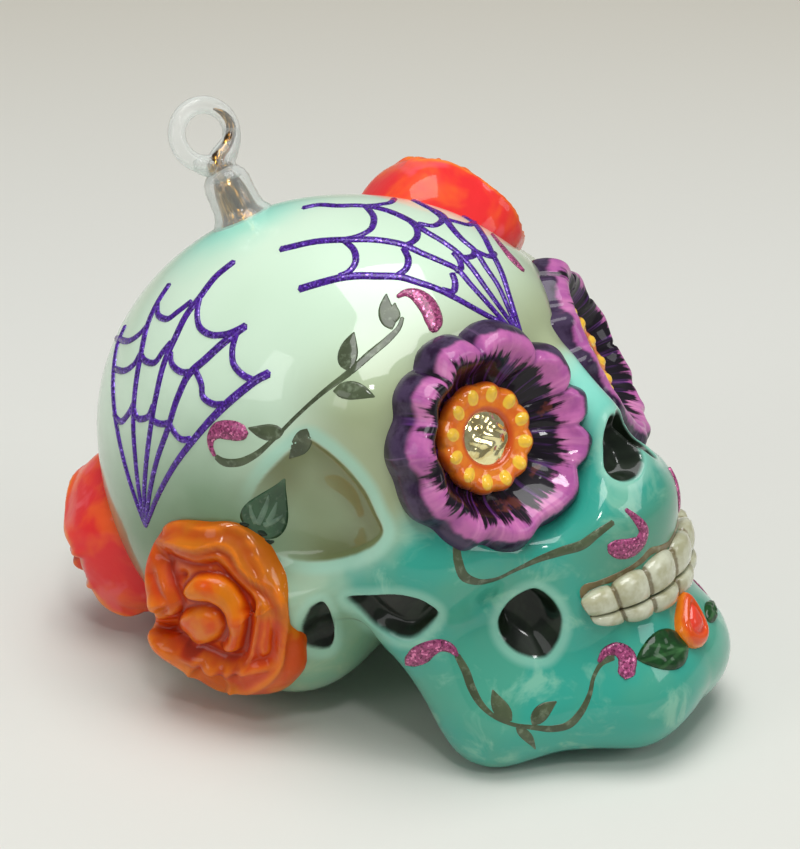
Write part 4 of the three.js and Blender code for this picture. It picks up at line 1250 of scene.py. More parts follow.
class SUGARSKULL_OT_roses(bpy.types.Operator):
    """Press the three roses, with the lips and folds of their petals"""

    bl_idname = "sugar_skull.roses"
    bl_label = "Roses"

    def execute(self, context):
        sizes, colours = settings()
        height = ROSE_SHARE * sizes.rose_height / MM
        glass = tree_of(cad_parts["skull_shell"])
        painted = tree_of(bpy.data.objects["skull_skin"])
        angle = once_round(ROSE_STEPS)
        shares = np.concatenate(((1, 0.995, 0.98, 0.96), np.linspace(0.935, 0.02, 54)))
        for name, (at, scale, rise, yaw, tilt, spin, radius, turn) in ROSE_SEATS.items():
            seat = facing(on_skin(at, scale, rise), yaw, tilt, spin)
            orange = name == "rose_right"
            if orange:
                bends = rounded(RIGHT_EDGE)
                turns = np.arctan2(bends[:, 1], bends[:, 0]) % (2 * math.pi)
                order = np.argsort(turns)
                edge = np.linalg.norm(bends[order, :2], axis=1), bends[order, 2]
                reach, low = (np.interp(angle, turns[order], values, period=2 * math.pi) for values in edge)
            else:
                reach = radius * (1 + 0.035 * np.cos(5 * angle + turn) + 0.02 * np.cos(3 * angle + 2))
                low = self.skin_under(glass, seat, reach, angle)
            crown, bend = ORANGE_DOME if orange else RED_DOME
            rings = self.dome(reach, low, height * crown, shares, angle, bend)
            if orange:
                marks = self.petals(rings, seat)
            pressed, lip, fold = (np.roll(mark, 0 if orange else int(turn * 40), axis=1) for mark in marks)
            pressed = np.maximum(pressed, -self.room_over(painted, rings, seat))
            rings = rings + self.outward_of(rings) * pressed[..., None]
            foot = [(0.7, -12.0), (0.95, -4.0), (0.985, -1.2)]
            under = [
                np.stack((rings[0, :, 0] * share, rings[0, :, 1] * share, np.minimum(low, 0) + sink), axis=1)
                for share, sink in foot
            ]
            rings = np.concatenate((under, rings))
            blank = np.zeros((len(foot), len(angle)))
            marks_on = {"lip": np.concatenate((blank, lip)), "fold": np.concatenate((blank, fold))}
            piece = ring_body(name + "_petals", rings, seat, marks=marks_on)
            material = self.lacquer(colours, name, 0.0 if orange else 1.0)
            finished(piece, material, "rose_orange" if orange else "rose_red", name)
        return {"FINISHED"}

    def skin_under(self, glass, seat, reach, angle):
        """How high over its seat the skin lies all round a rose's edge."""
        low = []
        for r, a in zip(reach, angle):
            height = height_of_skin(glass, seat, r * math.cos(a), r * math.sin(a), 9, 1000)
            low.append(EDGE_OVERHANG if height is None else height - EDGE_SUNK)
        low = np.maximum(low, EDGE_LOWEST)
        shifts = range(-EDGE_SMOOTHED, EDGE_SMOOTHED + 1)
        return np.mean([np.roll(low, shift) for shift in shifts], axis=0)

    def dome(self, reach, low, height, shares, angle, bend):
        """The rings of a plain rose, from its edge on the skin to its middle."""
        s = shares[:, None]
        x, y = s * reach * np.cos(angle), s * reach * np.sin(angle)
        round_off = (1 - s ** bend[0]) ** bend[1]
        return np.stack((x, y, low + (height - low) * round_off), axis=-1)

    def outward_of(self, rings):
        """Which way is out at each point of the rings."""
        along = np.roll(rings, -1, axis=1) - np.roll(rings, 1, axis=1)
        inward = np.gradient(rings, axis=0)
        return unit(np.cross(along, inward))

    def room_over(self, painted, rings, seat):
        """How deep each point may go and still lie clear over the painted skin."""
        room = []
        for place in to_world(from_seat(rings.reshape(-1, 3), seat)):
            near, normal, _, away = painted.find_nearest(Vector(place))
            outside = (Vector(place) - near).dot(normal) > 0
            room.append(max(away / MM - CLEARANCE, 0.0) if outside else 0.0)
        return np.array(room).reshape(rings.shape[:2])

    def petals(self, rings, seat):
        """How far each point is pressed, and how near it is to a petal's lip or fold."""
        flat = rings.reshape(-1, 3)
        out = self.outward_of(rings).reshape(-1, 3)
        sight_line = unit(to_seat(to_level(EYE * MM), seat) - flat)
        seen = smooth_step(0.02, 0.2, np.sum(out * sight_line, axis=1))
        scale = PIXEL / PETAL_CROP[2]
        pressed, lip, fold = (np.zeros(len(flat)) for _ in range(3))

        def seen_at(level):
            world = to_world(from_seat(flat + out * level, seat))
            return (pixels_of(world) - PETAL_CROP[:2]) * PETAL_CROP[2]

        for floor, depth, outline in PETALS:
            gap = outside_outline(seen_at(floor - depth / 2), outline) * scale
            if depth > 0:
                pressed += 0.35 * np.exp(-(((gap - 0.3) / 0.5) ** 2)) - depth * smooth_step(0.12, -0.6, gap)
                lip = np.maximum(lip, np.exp(-(((gap - 0.2) / 0.5) ** 2)))
                near = smooth_step(-0.05, -0.5, gap) * np.exp(-((np.minimum(gap + 0.6, 0) / 1.0) ** 2))
                fold = np.maximum(fold, near * min(1.0, depth / 1.6))
            else:
                pressed += -depth * (1 - np.exp(np.minimum(gap - 0.1, 0) / 0.75))
                near = 0.8 * np.exp(-(((gap + 0.55) / 0.5) ** 2))
                lip = np.maximum(lip * smooth_step(-0.9, 0.3, gap), near)
                near = np.exp(-(((gap - 0.35) / 0.5) ** 2))
                fold = np.maximum(fold * smooth_step(-0.4, 0.2, gap), near * min(1.0, -depth / 1.6))
        places = seen_at(-3.1)
        for spot in PITS:
            near = np.exp(-((np.linalg.norm(places - spot, axis=1) * scale / 0.75) ** 2))
            pressed -= 0.8 * near
            fold = np.maximum(fold, near)
        return tuple((mark * seen).reshape(rings.shape[:2]) for mark in (pressed, lip, fold))

    def lacquer(self, colours, name, red):
        """Orange or coral red, lighter at the petals' lips, with deeper red painted into their folds as
        painted shade.
        """
        paint = Paint(name + "_lacquer", roughness=0.4, coat_weight=0.45, coat_roughness=0.05)
        lip, fold = paint.mark("lip"), paint.mark("fold")
        x, y, _ = paint.own()
        clouds = paint.noise(110.0, 3.0, 0.55, 0.4)
        other = paint.noise(150.0, 2.0, 0.5, 0.8, at=paint.vector(*(axis * MM + 3 for axis in paint.own())))
        streaks = paint.noise(420.0, 3.0, 0.6)

        def shade(orange, coral):
            return tuple(a * (1 - red) + b * red for a, b in zip(orange, coral))

        body = shade(colours.rose_body, linear(236, 44, 46))
        warm = shade(linear(230, 124, 8), linear(246, 92, 40))
        tone = paint.mix(clouds.step(0.42, 0.62), body, warm)
        tone = paint.mix(other.step(0.56, 0.7) * 0.6, tone, shade(linear(232, 92, 50), linear(246, 96, 104)))
        # The side that turns from the floor is browner, and the crests are yellow to orange
        side = (x * 0.85 + y * 0.5 + (clouds - 0.5) * 9.0).step(7.0, 12.0)
        tone = paint.mix(side * (0.75 * (1 - red)), tone, linear(186, 106, 8))
        crest = (lip * (0.35 + streaks * 0.8) + (other - 0.5) * 0.5).step(0.3, 0.85)
        tone = paint.mix(crest * 0.85, tone, shade(colours.rose_edge, linear(250, 140, 34)))
        # Painted shade: deeper red in the petals' folds, and a dark brown in the deepest folds and the pits
        tone = paint.mix((fold * 1.2).held() * 0.9, tone, shade(colours.rose_fold_shade, linear(190, 14, 26)))
        paint.set(base_color=paint.mix(fold.step(0.75, 1.1) * 0.6, tone, linear(120, 22, 4)))
        paint.bump(streaks, 0.2, 0.5)
        return paint.material


# The arch of the mouth: teeth in a row, stations for each, how far the row turns to a side, its
# middle in shares of the face, its reach to a side and ahead, and how far it drops in front
TEETH = 6
TOOTH_STEPS = 22
ARCH_TURN = math.radians(74)
ARCH_MIDDLE = (0, -0.725, -0.605)
ARCH_REACH = (14.9, 7.9)
ARCH_DROP = 3.6
# Each row's way up or down, height and slant outwards
TOOTH_ROWS = {"upper_teeth": (1, 5.5, 1.7), "lower_teeth": (-1, 3.2, -0.85)}


class SUGARSKULL_OT_teeth(bpy.types.Operator):
    """Press the two rows of teeth round the mouth"""

    bl_idname = "sugar_skull.teeth"
    bl_label = "Teeth"

    def execute(self, context):
        _, colours = settings()
        paint = self.enamel(colours)
        for name, shape in TOOTH_ROWS.items():
            rings, gaps = self.row(*shape)
            piece = ring_body(name + "_row", rings, marks={"gap": gaps})
            finished(piece, paint, "tooth_lacquer", name)
        return {"FINISHED"}

    def row(self, way, height, slant):
        """Rings across the row at every station along the arch of the mouth."""
        share = np.linspace(0, 1, TEETH * TOOTH_STEPS + 1)
        angle = ARCH_TURN * (2 * share - 1)
        front = np.cos(angle)
        pad = np.sqrt(np.abs(np.sin(math.pi * share * TEETH)))
        out = np.stack((np.sin(angle), -front, 0 * angle), axis=1)
        inside = np.array(ARCH_MIDDLE) * FACE + np.stack((0 * front, 0 * front, -ARCH_DROP * front), axis=1)
        aim = unit(np.stack((ARCH_REACH[0] * np.sin(angle), -ARCH_REACH[1] * front, 0 * front), axis=1))
        foot = inside + aim * (skin_along(aim, inside) + 1.1 * np.sqrt(1 - front))[:, None]
        rise = way * height * (0.45 + 0.55 * front) * (0.82 + 0.18 * pad)
        levels = [(-4.0, 0, 0), (0.1, 0.02, 0.3), (0.55, 0.06, 0.7), (0.7, 0.16, 0.95), (0.75, 0.35, 1.1)]
        levels += [(0.7, 0.6, 1.05), (0.5, 0.82, 0.9), (0.2, 0.95, 0.5), (-0.2, 1.0, 0.1), (-4.0, 1.0, 0)]
        ring = []
        for offset, up, bulge in levels:
            reach = offset + bulge * pad - 0.35 * (1 - pad) + slant * up
            ring.append(foot + out * reach[:, None] + np.array((0, 0, 1.0)) * (rise * up)[:, None])
        rings = np.stack(ring, axis=1)
        edge = np.array([0.0, 1.0, 0.5, 0.1, 0, 0, 0.1, 0.55, 1.0, 0.6])
        gaps = np.maximum((1 - smooth_step(0.3, 0.72, pad))[:, None], edge[None] * 0.55)
        return rings, gaps

    def enamel(self, colours):
        """Cream glaze that darkens between the teeth."""
        paint = Paint("tooth_glazed_enamel", roughness=0.25, coat_weight=1.0, coat_roughness=0.05)
        clouds = paint.noise(320.0, 3.0)
        fine = paint.noise(1100.0, 3.0)
        shade = paint.mix(clouds.step(0.35, 0.7), linear(178, 176, 142), colours.tooth)
        line = (paint.mark("gap") + (fine - 0.5) * 0.9).step(0.45, 1.0)
        paint.set(base_color=paint.mix(line * 0.8, shade, colours.tooth_line))
        paint.bump(clouds, 0.2, 0.4)
        return paint.material


class SUGARSKULL_OT_chin_spray(bpy.types.Operator):
    """Press the chin's rosebud and its two leaves"""

    bl_idname = "sugar_skull.chin_spray"
    bl_label = "Chin rosebud and leaves"

    def execute(self, context):
        _, colours = settings()
        angle = once_round(96)
        seats = {
            name: facing(on_skin(at, FACE), yaw, tilt, spin)
            for name, (at, yaw, tilt, spin) in CHIN_SEATS.items()
        }
        tall, width, height = 8.4, 5.6, 2.0
        levels = [(0.9, -4), (1.0, -0.4), (1.0, 0.4), (0.96, 0.55), (0.9, 0.75), (0.8, 0.93), (0.68, 1.0)]
        levels += [(0.6, 0.9), (0.54, 0.74), (0.46, 0.86), (0.36, 1.04), (0.2, 1.1), (0.06, 1.06)]
        rings, marks = [], []
        for share, rise in levels:
            taper = 1 - 0.5 * np.sin(angle)
            x = width / 2 * share * np.cos(angle) * taper - 0.7
            y = tall / 2 * share * np.sin(angle)
            rings.append(np.stack((x, y, np.full_like(x, rise * height if rise > -1 else rise)), axis=1))
            marks.append(np.full_like(x, share))
        bud = ring_body("chin_bud", rings, seats["bud"], marks={"share": marks})
        finished(bud, self.bud_lacquer(colours), "bud_lacquer", "chin_rosebud")
        green = self.leaf_lacquer(colours)
        glass = tree_of(bpy.data.objects["skull_skin"])
        point, side = np.cos(angle), np.sin(angle)
        for hand, span, wide, back, down in (("right", 9.6, 6.0, 0.4, 0.6), ("left", 5.6, 2.6, 1.2, 0)):
            seat = seats["leaf_" + hand]
            levels = [(0.95, -3), (1.0, -0.6), (1.0, 0.1), (0.93, 0.35), (0.8, 0.55), (0.6, 0.7)]
            levels += [(0.38, 0.72), (0.18, 0.6), (0.05, 0.45)]
            rings = []
            for share, rise in levels:
                x = span / 2 * share * point - back
                y = wide / 2 * share * side * np.abs(side) ** 0.5 * (1 - 0.25 * point) - down
                veins = 0.08 * np.cos(5 * math.pi * (share * point) + 2.5 * np.abs(side)) * share
                z = self.skin_at(glass, seat, x, y) + rise + veins * (rise > 0.3)
                rings.append(np.stack((x, y, z), axis=1))
            leaf = ring_body("chin_leaf_blade_" + hand, rings, seat)
            finished(leaf, green, "leaf_lacquer", "chin_leaf_" + hand)
        return {"FINISHED"}

    def skin_at(self, glass, seat, x, y):
        """How high the painted skin lies over a leaf's seat, no more than 2 mm off it."""
        found = [height_of_skin(glass, seat, u, v, 6, 14) for u, v in zip(x, y)]
        return np.clip([-2 if height is None else height for height in found], -2, 2)

    def bud_lacquer(self, colours):
        """Orange petals round a red heart."""
        paint = Paint("rosebud_lacquer", roughness=0.28, coat_weight=1.0, coat_roughness=0.05)
        clouds = paint.noise(500.0, 3.0)
        share = paint.mark("share") + (clouds - 0.5) * 0.2
        rim = paint.mix(share.step(0.86, 1.0), colours.rose_body, colours.rose_edge)
        paint.set(base_color=paint.mix(1 - share.step(0.42, 0.66), rim, linear(232, 64, 40)))
        paint.bump(clouds, 0.2, 0.3)
        return paint.material

    def leaf_lacquer(self, colours):
        """Green with paler veins."""
        paint = Paint("leaf_lacquer", roughness=0.4, coat_weight=0.55, coat_roughness=0.05)
        x, y, _ = paint.own()
        clouds = paint.noise(450.0, 3.0)
        spread = abs(y) - (x + 3.0) * 0.38
        veins = 1 - abs(spread).step(0.1, 0.45)
        middle = 1 - abs(y).step(0.12, 0.4)
        pale = ((veins + middle) * (0.15 + clouds * 0.4)).held()
        green = paint.mix(clouds.step(0.3, 0.7), linear(12, 46, 18), colours.leaf)
        paint.set(base_color=paint.mix(pale, green, linear(70, 122, 70)))
        paint.bump(clouds, 0.25, 0.4)
        return paint.material


# Lines of glitter and paint, in the photograph's pixels

FRONT_RAYS = [
    [(521, 338), (506.5, 326.4), (480, 311.7), (453.7, 297.1), (439, 289.7), (418.5, 282.4), (400.9, 277.1),
     (377.5, 276), (354, 276), (339.3, 278), (321.7, 282.4), (299.7, 288.9)],
    [(515.3, 335.2), (494.8, 311.7), (471.3, 285.3), (456.7, 269.2), (442, 261.9), (421.5, 253.1),
     (403.9, 245.1), (383.3, 240.8), (342.3, 239.9), (318.8, 241.3), (280.7, 249.3)],
    [(515.3, 329.3), (500.7, 308.8), (486, 288.3), (471.3, 267.7), (459.6, 254.5), (442, 241.3),
     (427.3, 232.5), (409.7, 220.8), (386.3, 210.5), (362.8, 206.1), (339.3, 206.1), (315.9, 205.5),
     (303.3, 208.2)],
    [(518.3, 332.3), (509.5, 311.7), (497.7, 285.3), (486, 267.7), (474.3, 250.1), (462.5, 239.9),
     (450.8, 226.7), (442, 214.9), (430.3, 209.1), (412.7, 200.3), (395.1, 195), (367.2, 193.8)],
    [(521.2, 335.2), (516.8, 320.5), (509.5, 297.1), (500.7, 270.7), (491.9, 253.1), (483.1, 235.5),
     (474.3, 223.7), (465.5, 217.9), (447.9, 209.1), (421.5, 197.3)],
]
FRONT_SCALLOPS = [
    [(365.7, 206.1), (374, 217.9), (371.6, 228.1), (359.9, 235.5), (342.3, 239.9)],
    [(345.2, 241.3), (354, 250.1), (355.5, 261.9), (348.1, 272.1), (339.3, 275.9)],
    [(395.7, 196.7), (392.1, 201.7), (380.4, 204.7), (365.7, 206.1)],
    [(409.7, 220.8), (417.1, 229.6), (417.1, 236.9), (411.2, 242.8), (400.9, 245.7)],
    [(403.9, 248.7), (408.3, 258.9), (406.8, 267.7), (398, 275.1)],
    [(430.3, 209.1), (442, 220.8), (436.1, 225.2), (418.5, 223.7)],
    [(453.7, 253.1), (460.2, 261.9), (461.1, 267.7), (456.7, 272.1)],
    [(452.3, 273.6), (455.2, 282.4), (453.7, 291.2), (442, 289.7)],
    [(474.3, 222.3), (471.3, 224.3), (456.7, 222.3), (442, 217.9)],
    [(474.3, 250.1), (474.3, 254.5), (465.5, 257.5), (458.1, 255.4)],
    [(494.8, 253.1), (491.9, 256), (480.1, 253.1), (474.3, 250.1)],
]
REAR_RAYS = [
    [(145.7, 525.9), (136.9, 502.4), (126.7, 470.2), (117.9, 432), (113.5, 396.8), (114, 367.5),
     (117.9, 344), (125.2, 326.4)],
    [(145.7, 525.9), (139.9, 496.5), (135.5, 458.4), (133.4, 420.3), (135.5, 388), (141.3, 352.8),
     (147.2, 326.4), (157.5, 302.9), (169.2, 284.5)],
    [(145.7, 525.9), (144.3, 499.5), (145.7, 470.1), (150.1, 432), (156, 396.8), (164.8, 361.6),
     (175.1, 338.1), (186.8, 314.7), (200, 297.1), (216.1, 276.5), (233.7, 261.9)],
    [(145.7, 525.9), (150.1, 490.7), (157.5, 458.4), (167.7, 429.1), (178, 396.8), (189.7, 373.3),
     (204.4, 360.1), (222, 344), (236.7, 332.3), (245.5, 325.8)],
    [(145.7, 525.9), (158.9, 493.6), (175.1, 464.3), (192.7, 440.8), (210.3, 420.3), (227.9, 402.7),
     (245.5, 388), (257.2, 379.2), (268.9, 373.3)],
]
REAR_SCALLOPS = [
    [(200, 297.1), (197.1, 314.7), (200, 327.9), (210.3, 334.6), (223.5, 334.6), (245.5, 325.8)],
    [(236.7, 332.3), (232.3, 349.9), (233.7, 364.5), (242.5, 374.8), (254.3, 380.7)],
    [(157.5, 302.9), (158.9, 316.1), (166.3, 319.1), (178, 311.7), (191.2, 301.5)],
    [(116.4, 338.1), (128.1, 341.1), (138.4, 335.2), (148.7, 323.5)],
    [(114.9, 368.9), (122.3, 371), (134, 364.5), (139.9, 354.3)],
    [(141.3, 354.3), (144.3, 360.1), (153.1, 363.1), (163.3, 351.3), (170.7, 342.5)],
    [(170.7, 352.8), (172.1, 364.5), (180.9, 371.9), (192.7, 371.9)],
    [(195.6, 370.4), (201.5, 385.1), (202.9, 396.8), (213.2, 404.1), (226.4, 404.1)],
    [(114.1, 414.4), (120.8, 421.7), (128.1, 414.4), (134, 402.7)],
    [(134, 408.5), (138.4, 418.8), (147.2, 417.3), (153.1, 405.6)],
    [(150.1, 417.3), (157.5, 423.2), (167.7, 423.2), (170.7, 421.7)],
    [(169.2, 423.2), (175.1, 433.5), (180.9, 439.3), (191.2, 439.3)],
]
# Painted stems with their half width in pixels
VINES = [
    ([(216.1, 456.9), (222, 461.3), (236.7, 462.8), (254.3, 455.5), (271.9, 440.8), (295.3, 417.3),
      (324.7, 390.9), (348.1, 373.3), (371.6, 352.8), (389.2, 338.1), (399.5, 326.4), (402.4, 317.6)], 3.8),
    ([(456.1, 543.6), (458.5, 562.5), (464.4, 576.6), (476.2, 581.8), (492.7, 580.2), (516.3, 569.6),
      (539.9, 558.9), (563.5, 550.7), (582.4, 544.8), (596.5, 534.2), (613, 522.4)], 4.4),
    ([(457.3, 655.7), (465.6, 671), (471.5, 687.5), (480.9, 704.1), (495.1, 717), (511.6, 724.1),
      (535.2, 727.7), (554.1, 728.8), (568.2, 725.3), (580, 713.5), (589.5, 694.6), (594.2, 675.7),
      (601.3, 663.9), (613, 656.9)], 3.8),
]
# Painted leaves, base and tip, with their half width in pixels
VINE_LEAVES = [
    ((284, 431), (248.4, 428), 8),
    ((307, 429), (289.5, 458.4), 9),
    ((333.5, 391), (374.5, 396.8), 9),
    ((348.1, 370.4), (354, 332.3), 10),
    ((392.1, 329.3), (386.3, 294.1), 8),
    ((396, 322), (395, 303), 6),
    ((511.6, 720.6), (492.7, 689.9), 8),
    ((532.8, 725.3), (556.4, 701.7), 8),
    ((516.3, 728), (535.2, 748.9), 5),
]
# Pink commas, with a half width in pixels at each point
BROW_COMMAS = [
    [(397.4, 296.8, 2), (405, 293, 4), (414, 294, 7), (424, 301, 9.5), (431, 311.6, 9.5), (434, 324, 8),
     (433, 331, 4)],
    [(492, 235, 2), (504.7, 250, 5), (515, 262, 6.5), (523, 271, 3)],
]
COMMAS = [
    [(214.7, 455.5, 2), (211, 447, 3), (211, 438, 5), (217, 431, 8), (228, 430, 9.5), (240, 432, 8.5),
     (246, 433, 5), (248, 433, 1)],
    [(625.8, 509.5, 2), (635.3, 517.9, 4), (643.7, 530.5, 6.5), (639.5, 543, 9), (627, 549, 10.5),
     (615, 548, 8.5), (610, 546, 5), (608, 545, 1)],
    [(457.3, 655.7, 2), (452.6, 649.8, 4), (440.8, 645.5, 6.5), (429, 649, 9), (420, 655, 10.5),
     (413, 660, 8), (408, 663, 4.5), (406.5, 664, 1)],
    [(598.9, 661.6, 2), (606, 651.8, 4.5), (617.8, 649.4, 7), (627.2, 657.5, 9), (627.2, 667, 8.5),
     (625.8, 677, 5), (625.6, 679, 1)],
]
GREEN_LEAF = [(255, 538, 3), (257, 533, 13), (259.5, 528, 19.5), (264, 518, 23), (269, 508, 20.5),
    (275, 497, 13), (281, 486, 5), (284.5, 479, 1)]
# The leaf's pale fingers, the dark dabs under it and the brown line of the gum
LEAF_VEINS = [
    [(258, 524, 3.2), (263, 513, 3.4), (267, 503, 2.4), (269, 495, 1)],
    [(256, 523, 3), (252, 515, 2.6), (250, 505, 1)],
    [(268, 522, 3.2), (273, 513, 3), (277, 502, 1)],
    [(264, 525, 3), (273, 522, 2.8), (283, 515, 1)],
]
LEAF_DABS = [
    [(240, 523, 1), (244, 525, 3.6), (249, 524.5, 1)],
    [(258, 531, 1), (262, 533, 3.6), (267, 535, 1)],
    [(264, 540, 1), (269, 542, 2.6), (274, 541.5, 1)],
]
GUM_LINE = [
    [(582, 598, 1.5), (584, 590, 4), (597, 584, 3), (609.7, 579.5, 3.6), (624.5, 573, 4.2), (632.9, 567, 3),
     (643.4, 559, 3.8), (650, 552, 4.4), (660.3, 548, 3), (668.7, 544, 3.4), (677, 535.5, 4),
     (683.4, 529, 1.8)],
]


# A stroke ends where its line jumps this far in millimetres, for there it leaves the skin, and
# no stroke is narrower to a side than this many pixels
JUMP = 4
LEAST_HALF = 0.8
# A stroke's section from edge to edge, as shares of its half width and rise, and how deep its
# underside is sunk in millimetres
SECTION = [(-1.0, 0.02), (-0.8, 0.6), (-0.4, 0.95), (0.0, 1.05), (0.4, 0.95), (0.8, 0.6), (1.0, 0.02)]
STROKE_SUNK = 0.5


def spaced_line(points, spacing):
    """A smooth line through points, at an even spacing."""
    points = np.array(points, float)
    runs = np.concatenate(((0,), np.cumsum(np.linalg.norm(np.diff(points[:, :2], axis=0), axis=1))))
    count = max(4, int(runs[-1] / spacing) + 1)
    return smooth_curve(runs, points, np.linspace(0, runs[-1], count))


class Brush:
    """Lays strokes on the skull's skin where the camera sees their pixels, on both sides."""

    def __init__(self):
        self.tree = tree_of(bpy.data.objects["skull_skin"])
        self.bodies = []

    def stroke(self, line, rise, mirrored=True, spacing=3.0):
        """A domed ribbon along pixels that each carry a half width."""
        line = spaced_line(line, spacing)
        places, normals, halves = [], [], []
        for x, y, half in line:
            place, normal, _, _ = self.tree.ray_cast(*sight((x, y)))
            if place is None:
                continue
            if places and (place - places[-1]).length > JUMP * MM:
                break
            places.append(place)
            normals.append(normal)
            halves.append(max(half, LEAST_HALF) * PIXEL)
        if len(places) < 3:
            return
        places = np.array(places) / MM
        normals = unit(np.array(normals))
        for _ in range(3):
            normals[1:-1] = unit(normals[:-2] + normals[1:-1] * 2 + normals[2:])
        along = unit(np.gradient(places, axis=0))
        across = unit(np.cross(along, normals))
        halves = np.array(halves)
        ring = []
        for side, up in SECTION:
            edge = self.lifted(places + across * (side * halves)[:, None], normals)
            ring.append(edge + normals * (up * rise))
        for side in (0.7, -0.7):
            ring.append(places + across * (side * halves)[:, None] - normals * STROKE_SUNK)
        rings = np.stack(ring, axis=1)
        ends = (places[0] - along[0] * halves[0] * 0.5, places[-1] + along[-1] * halves[-1] * 0.5)
        # The other side's stroke is mirrored where the ornament stands, across its middle
        for sign, shift in ((1, 0), (-1, 2 * STANDS_AT[0]))[: 2 if mirrored else 1]:
            put = [to_level((spots * (sign, 1, 1) + (shift, 0, 0)) * MM) for spots in (rings, *ends)]
            self.bodies.append(ring_body("stroke", put[0], ends=put[1:]))

    def lifted(self, places, normals):
        """Places moved onto the skin along the normals."""
        found = []
        for place, normal in zip(places, normals):
            start = Vector((place + normal * 3) * MM)
            hit = self.tree.ray_cast(start, Vector(-normal), 6 * MM)[0]
            found.append(np.array(hit) / MM if hit is not None else place)
        return np.array(found)

    def leaf(self, base, tip, half, rise):
        """A pointed leaf from base to tip."""
        t = np.linspace(0, 1, 9)
        width = half * np.sin(math.pi * t**0.75) ** 0.8
        bend = np.array((tip[1] - base[1], base[0] - tip[0])) * 0.08
        line = []
        for s, w in zip(t, width):
            x, y = (a + (b - a) * s + c * math.sin(math.pi * s) for a, b, c in zip(base, tip, bend))
            line.append((x, y, max(w, LEAST_HALF)))
        self.stroke(line, rise, spacing=2.5)

    def done(self, name, material, slot):
        """Joins the strokes so far into one finished piece."""
        piece = joined(name, self.bodies)
        self.bodies = []
        finished(piece, material, slot)


def tapered(points, first, last):
    """Points with half widths that grow from first to last."""
    count = len(points)
    return [(x, y, first + (last - first) * min(1, 1.6 * i / (count - 1))) for i, (x, y) in enumerate(points)]


class SUGARSKULL_OT_webs(bpy.types.Operator):
    """Draw the glitter web on the brow, and the pair on the back of the cranium"""

    bl_idname = "sugar_skull.webs"
    bl_label = "Glitter webs"

    def execute(self, context):
        sizes, colours = settings()
        rise = sizes.glitter_rise / MM
        brush = Brush()
        for rays, scallops, both in ((FRONT_RAYS, FRONT_SCALLOPS, False), (REAR_RAYS, REAR_SCALLOPS, True)):
            for ray in rays:
                brush.stroke(tapered(ray, 2.6, 4.5), rise, both)
            for scallop in scallops:
                brush.stroke([(x, y, 3.5) for x, y in scallop], rise * 0.9, both)
        brush.done("webs", glitter_paint("violet_glitter", colours.web), "petal_lacquer")
        return {"FINISHED"}


class SUGARSKULL_OT_commas(bpy.types.Operator):
    """Draw the pink glitter commas"""

    bl_idname = "sugar_skull.commas"
    bl_label = "Glitter commas"

    def execute(self, context):
        sizes, colours = settings()
        brush = Brush()
        for comma in COMMAS:
            brush.stroke(comma, sizes.glitter_rise / MM, spacing=2.0)
        for comma in BROW_COMMAS:
            brush.stroke(comma, sizes.glitter_rise / MM, False, 2.0)
        brush.done("commas", glitter_paint("pink_glitter", colours.comma), "petal_lacquer")
        return {"FINISHED"}


class SUGARSKULL_OT_vines(bpy.types.Operator):
    """Brush the vines, their leaves and the green leaf beside the rose"""

    bl_idname = "sugar_skull.vines"
    bl_label = "Brushed vines"

    def execute(self, context):
        sizes, colours = settings()
        rise = sizes.paint_rise / MM
        brush = Brush()
        for points, half in VINES:
            brush.stroke([(x, y, half * (0.8 + 0.3 * math.sin(i))) for i, (x, y) in enumerate(points)], rise)
        for base, tip, half in VINE_LEAVES:
            brush.leaf(base, tip, half, rise * 1.3)
        brush.done("vines", brush_paint("vine_paint", colours.vine, 0.28), "leaf_lacquer")
        brush.stroke(GREEN_LEAF, rise, spacing=2.0)
        brush.done("temple_leaf", brush_paint("temple_leaf_paint", linear(56, 96, 64), 0.25), "leaf_lacquer")
        for vein in LEAF_VEINS:
            brush.stroke(vein, rise * 2.6, spacing=2.0)
        brush.done("temple_leaf_veins", brush_paint("vein_paint", linear(104, 136, 112), 0.2), "leaf_lacquer")
        for dab in LEAF_DABS:
            brush.stroke(dab, rise * 3.4, spacing=1.0)
        brush.done("temple_leaf_dabs", brush_paint("dab_paint", linear(18, 44, 22), 0.0), "leaf_lacquer")
        for line in GUM_LINE:
            brush.stroke(line, rise * 2)
        brush.done("gum_line", brush_paint("gum_paint", linear(128, 112, 76), 0.3), "tooth_lacquer")
        return {"FINISHED"}


# Each lamp's place and side in metres, and its power
LAMPS = {
    "soft_top": ((-0.05, -0.05, 0.95), 0.6, 6.6),
    "soft_left": ((-0.85, 0.35, 0.5), 0.4, 1.1),
    "soft_front": ((0.1, -0.95, 0.6), 0.4, 1.5),
    "window": ((-0.42, -0.28, 0.72), 0.1, 0.9),
}
LAMPS_AIM = (0, 0, 0.04)
SENSOR_WIDTH = 36.0


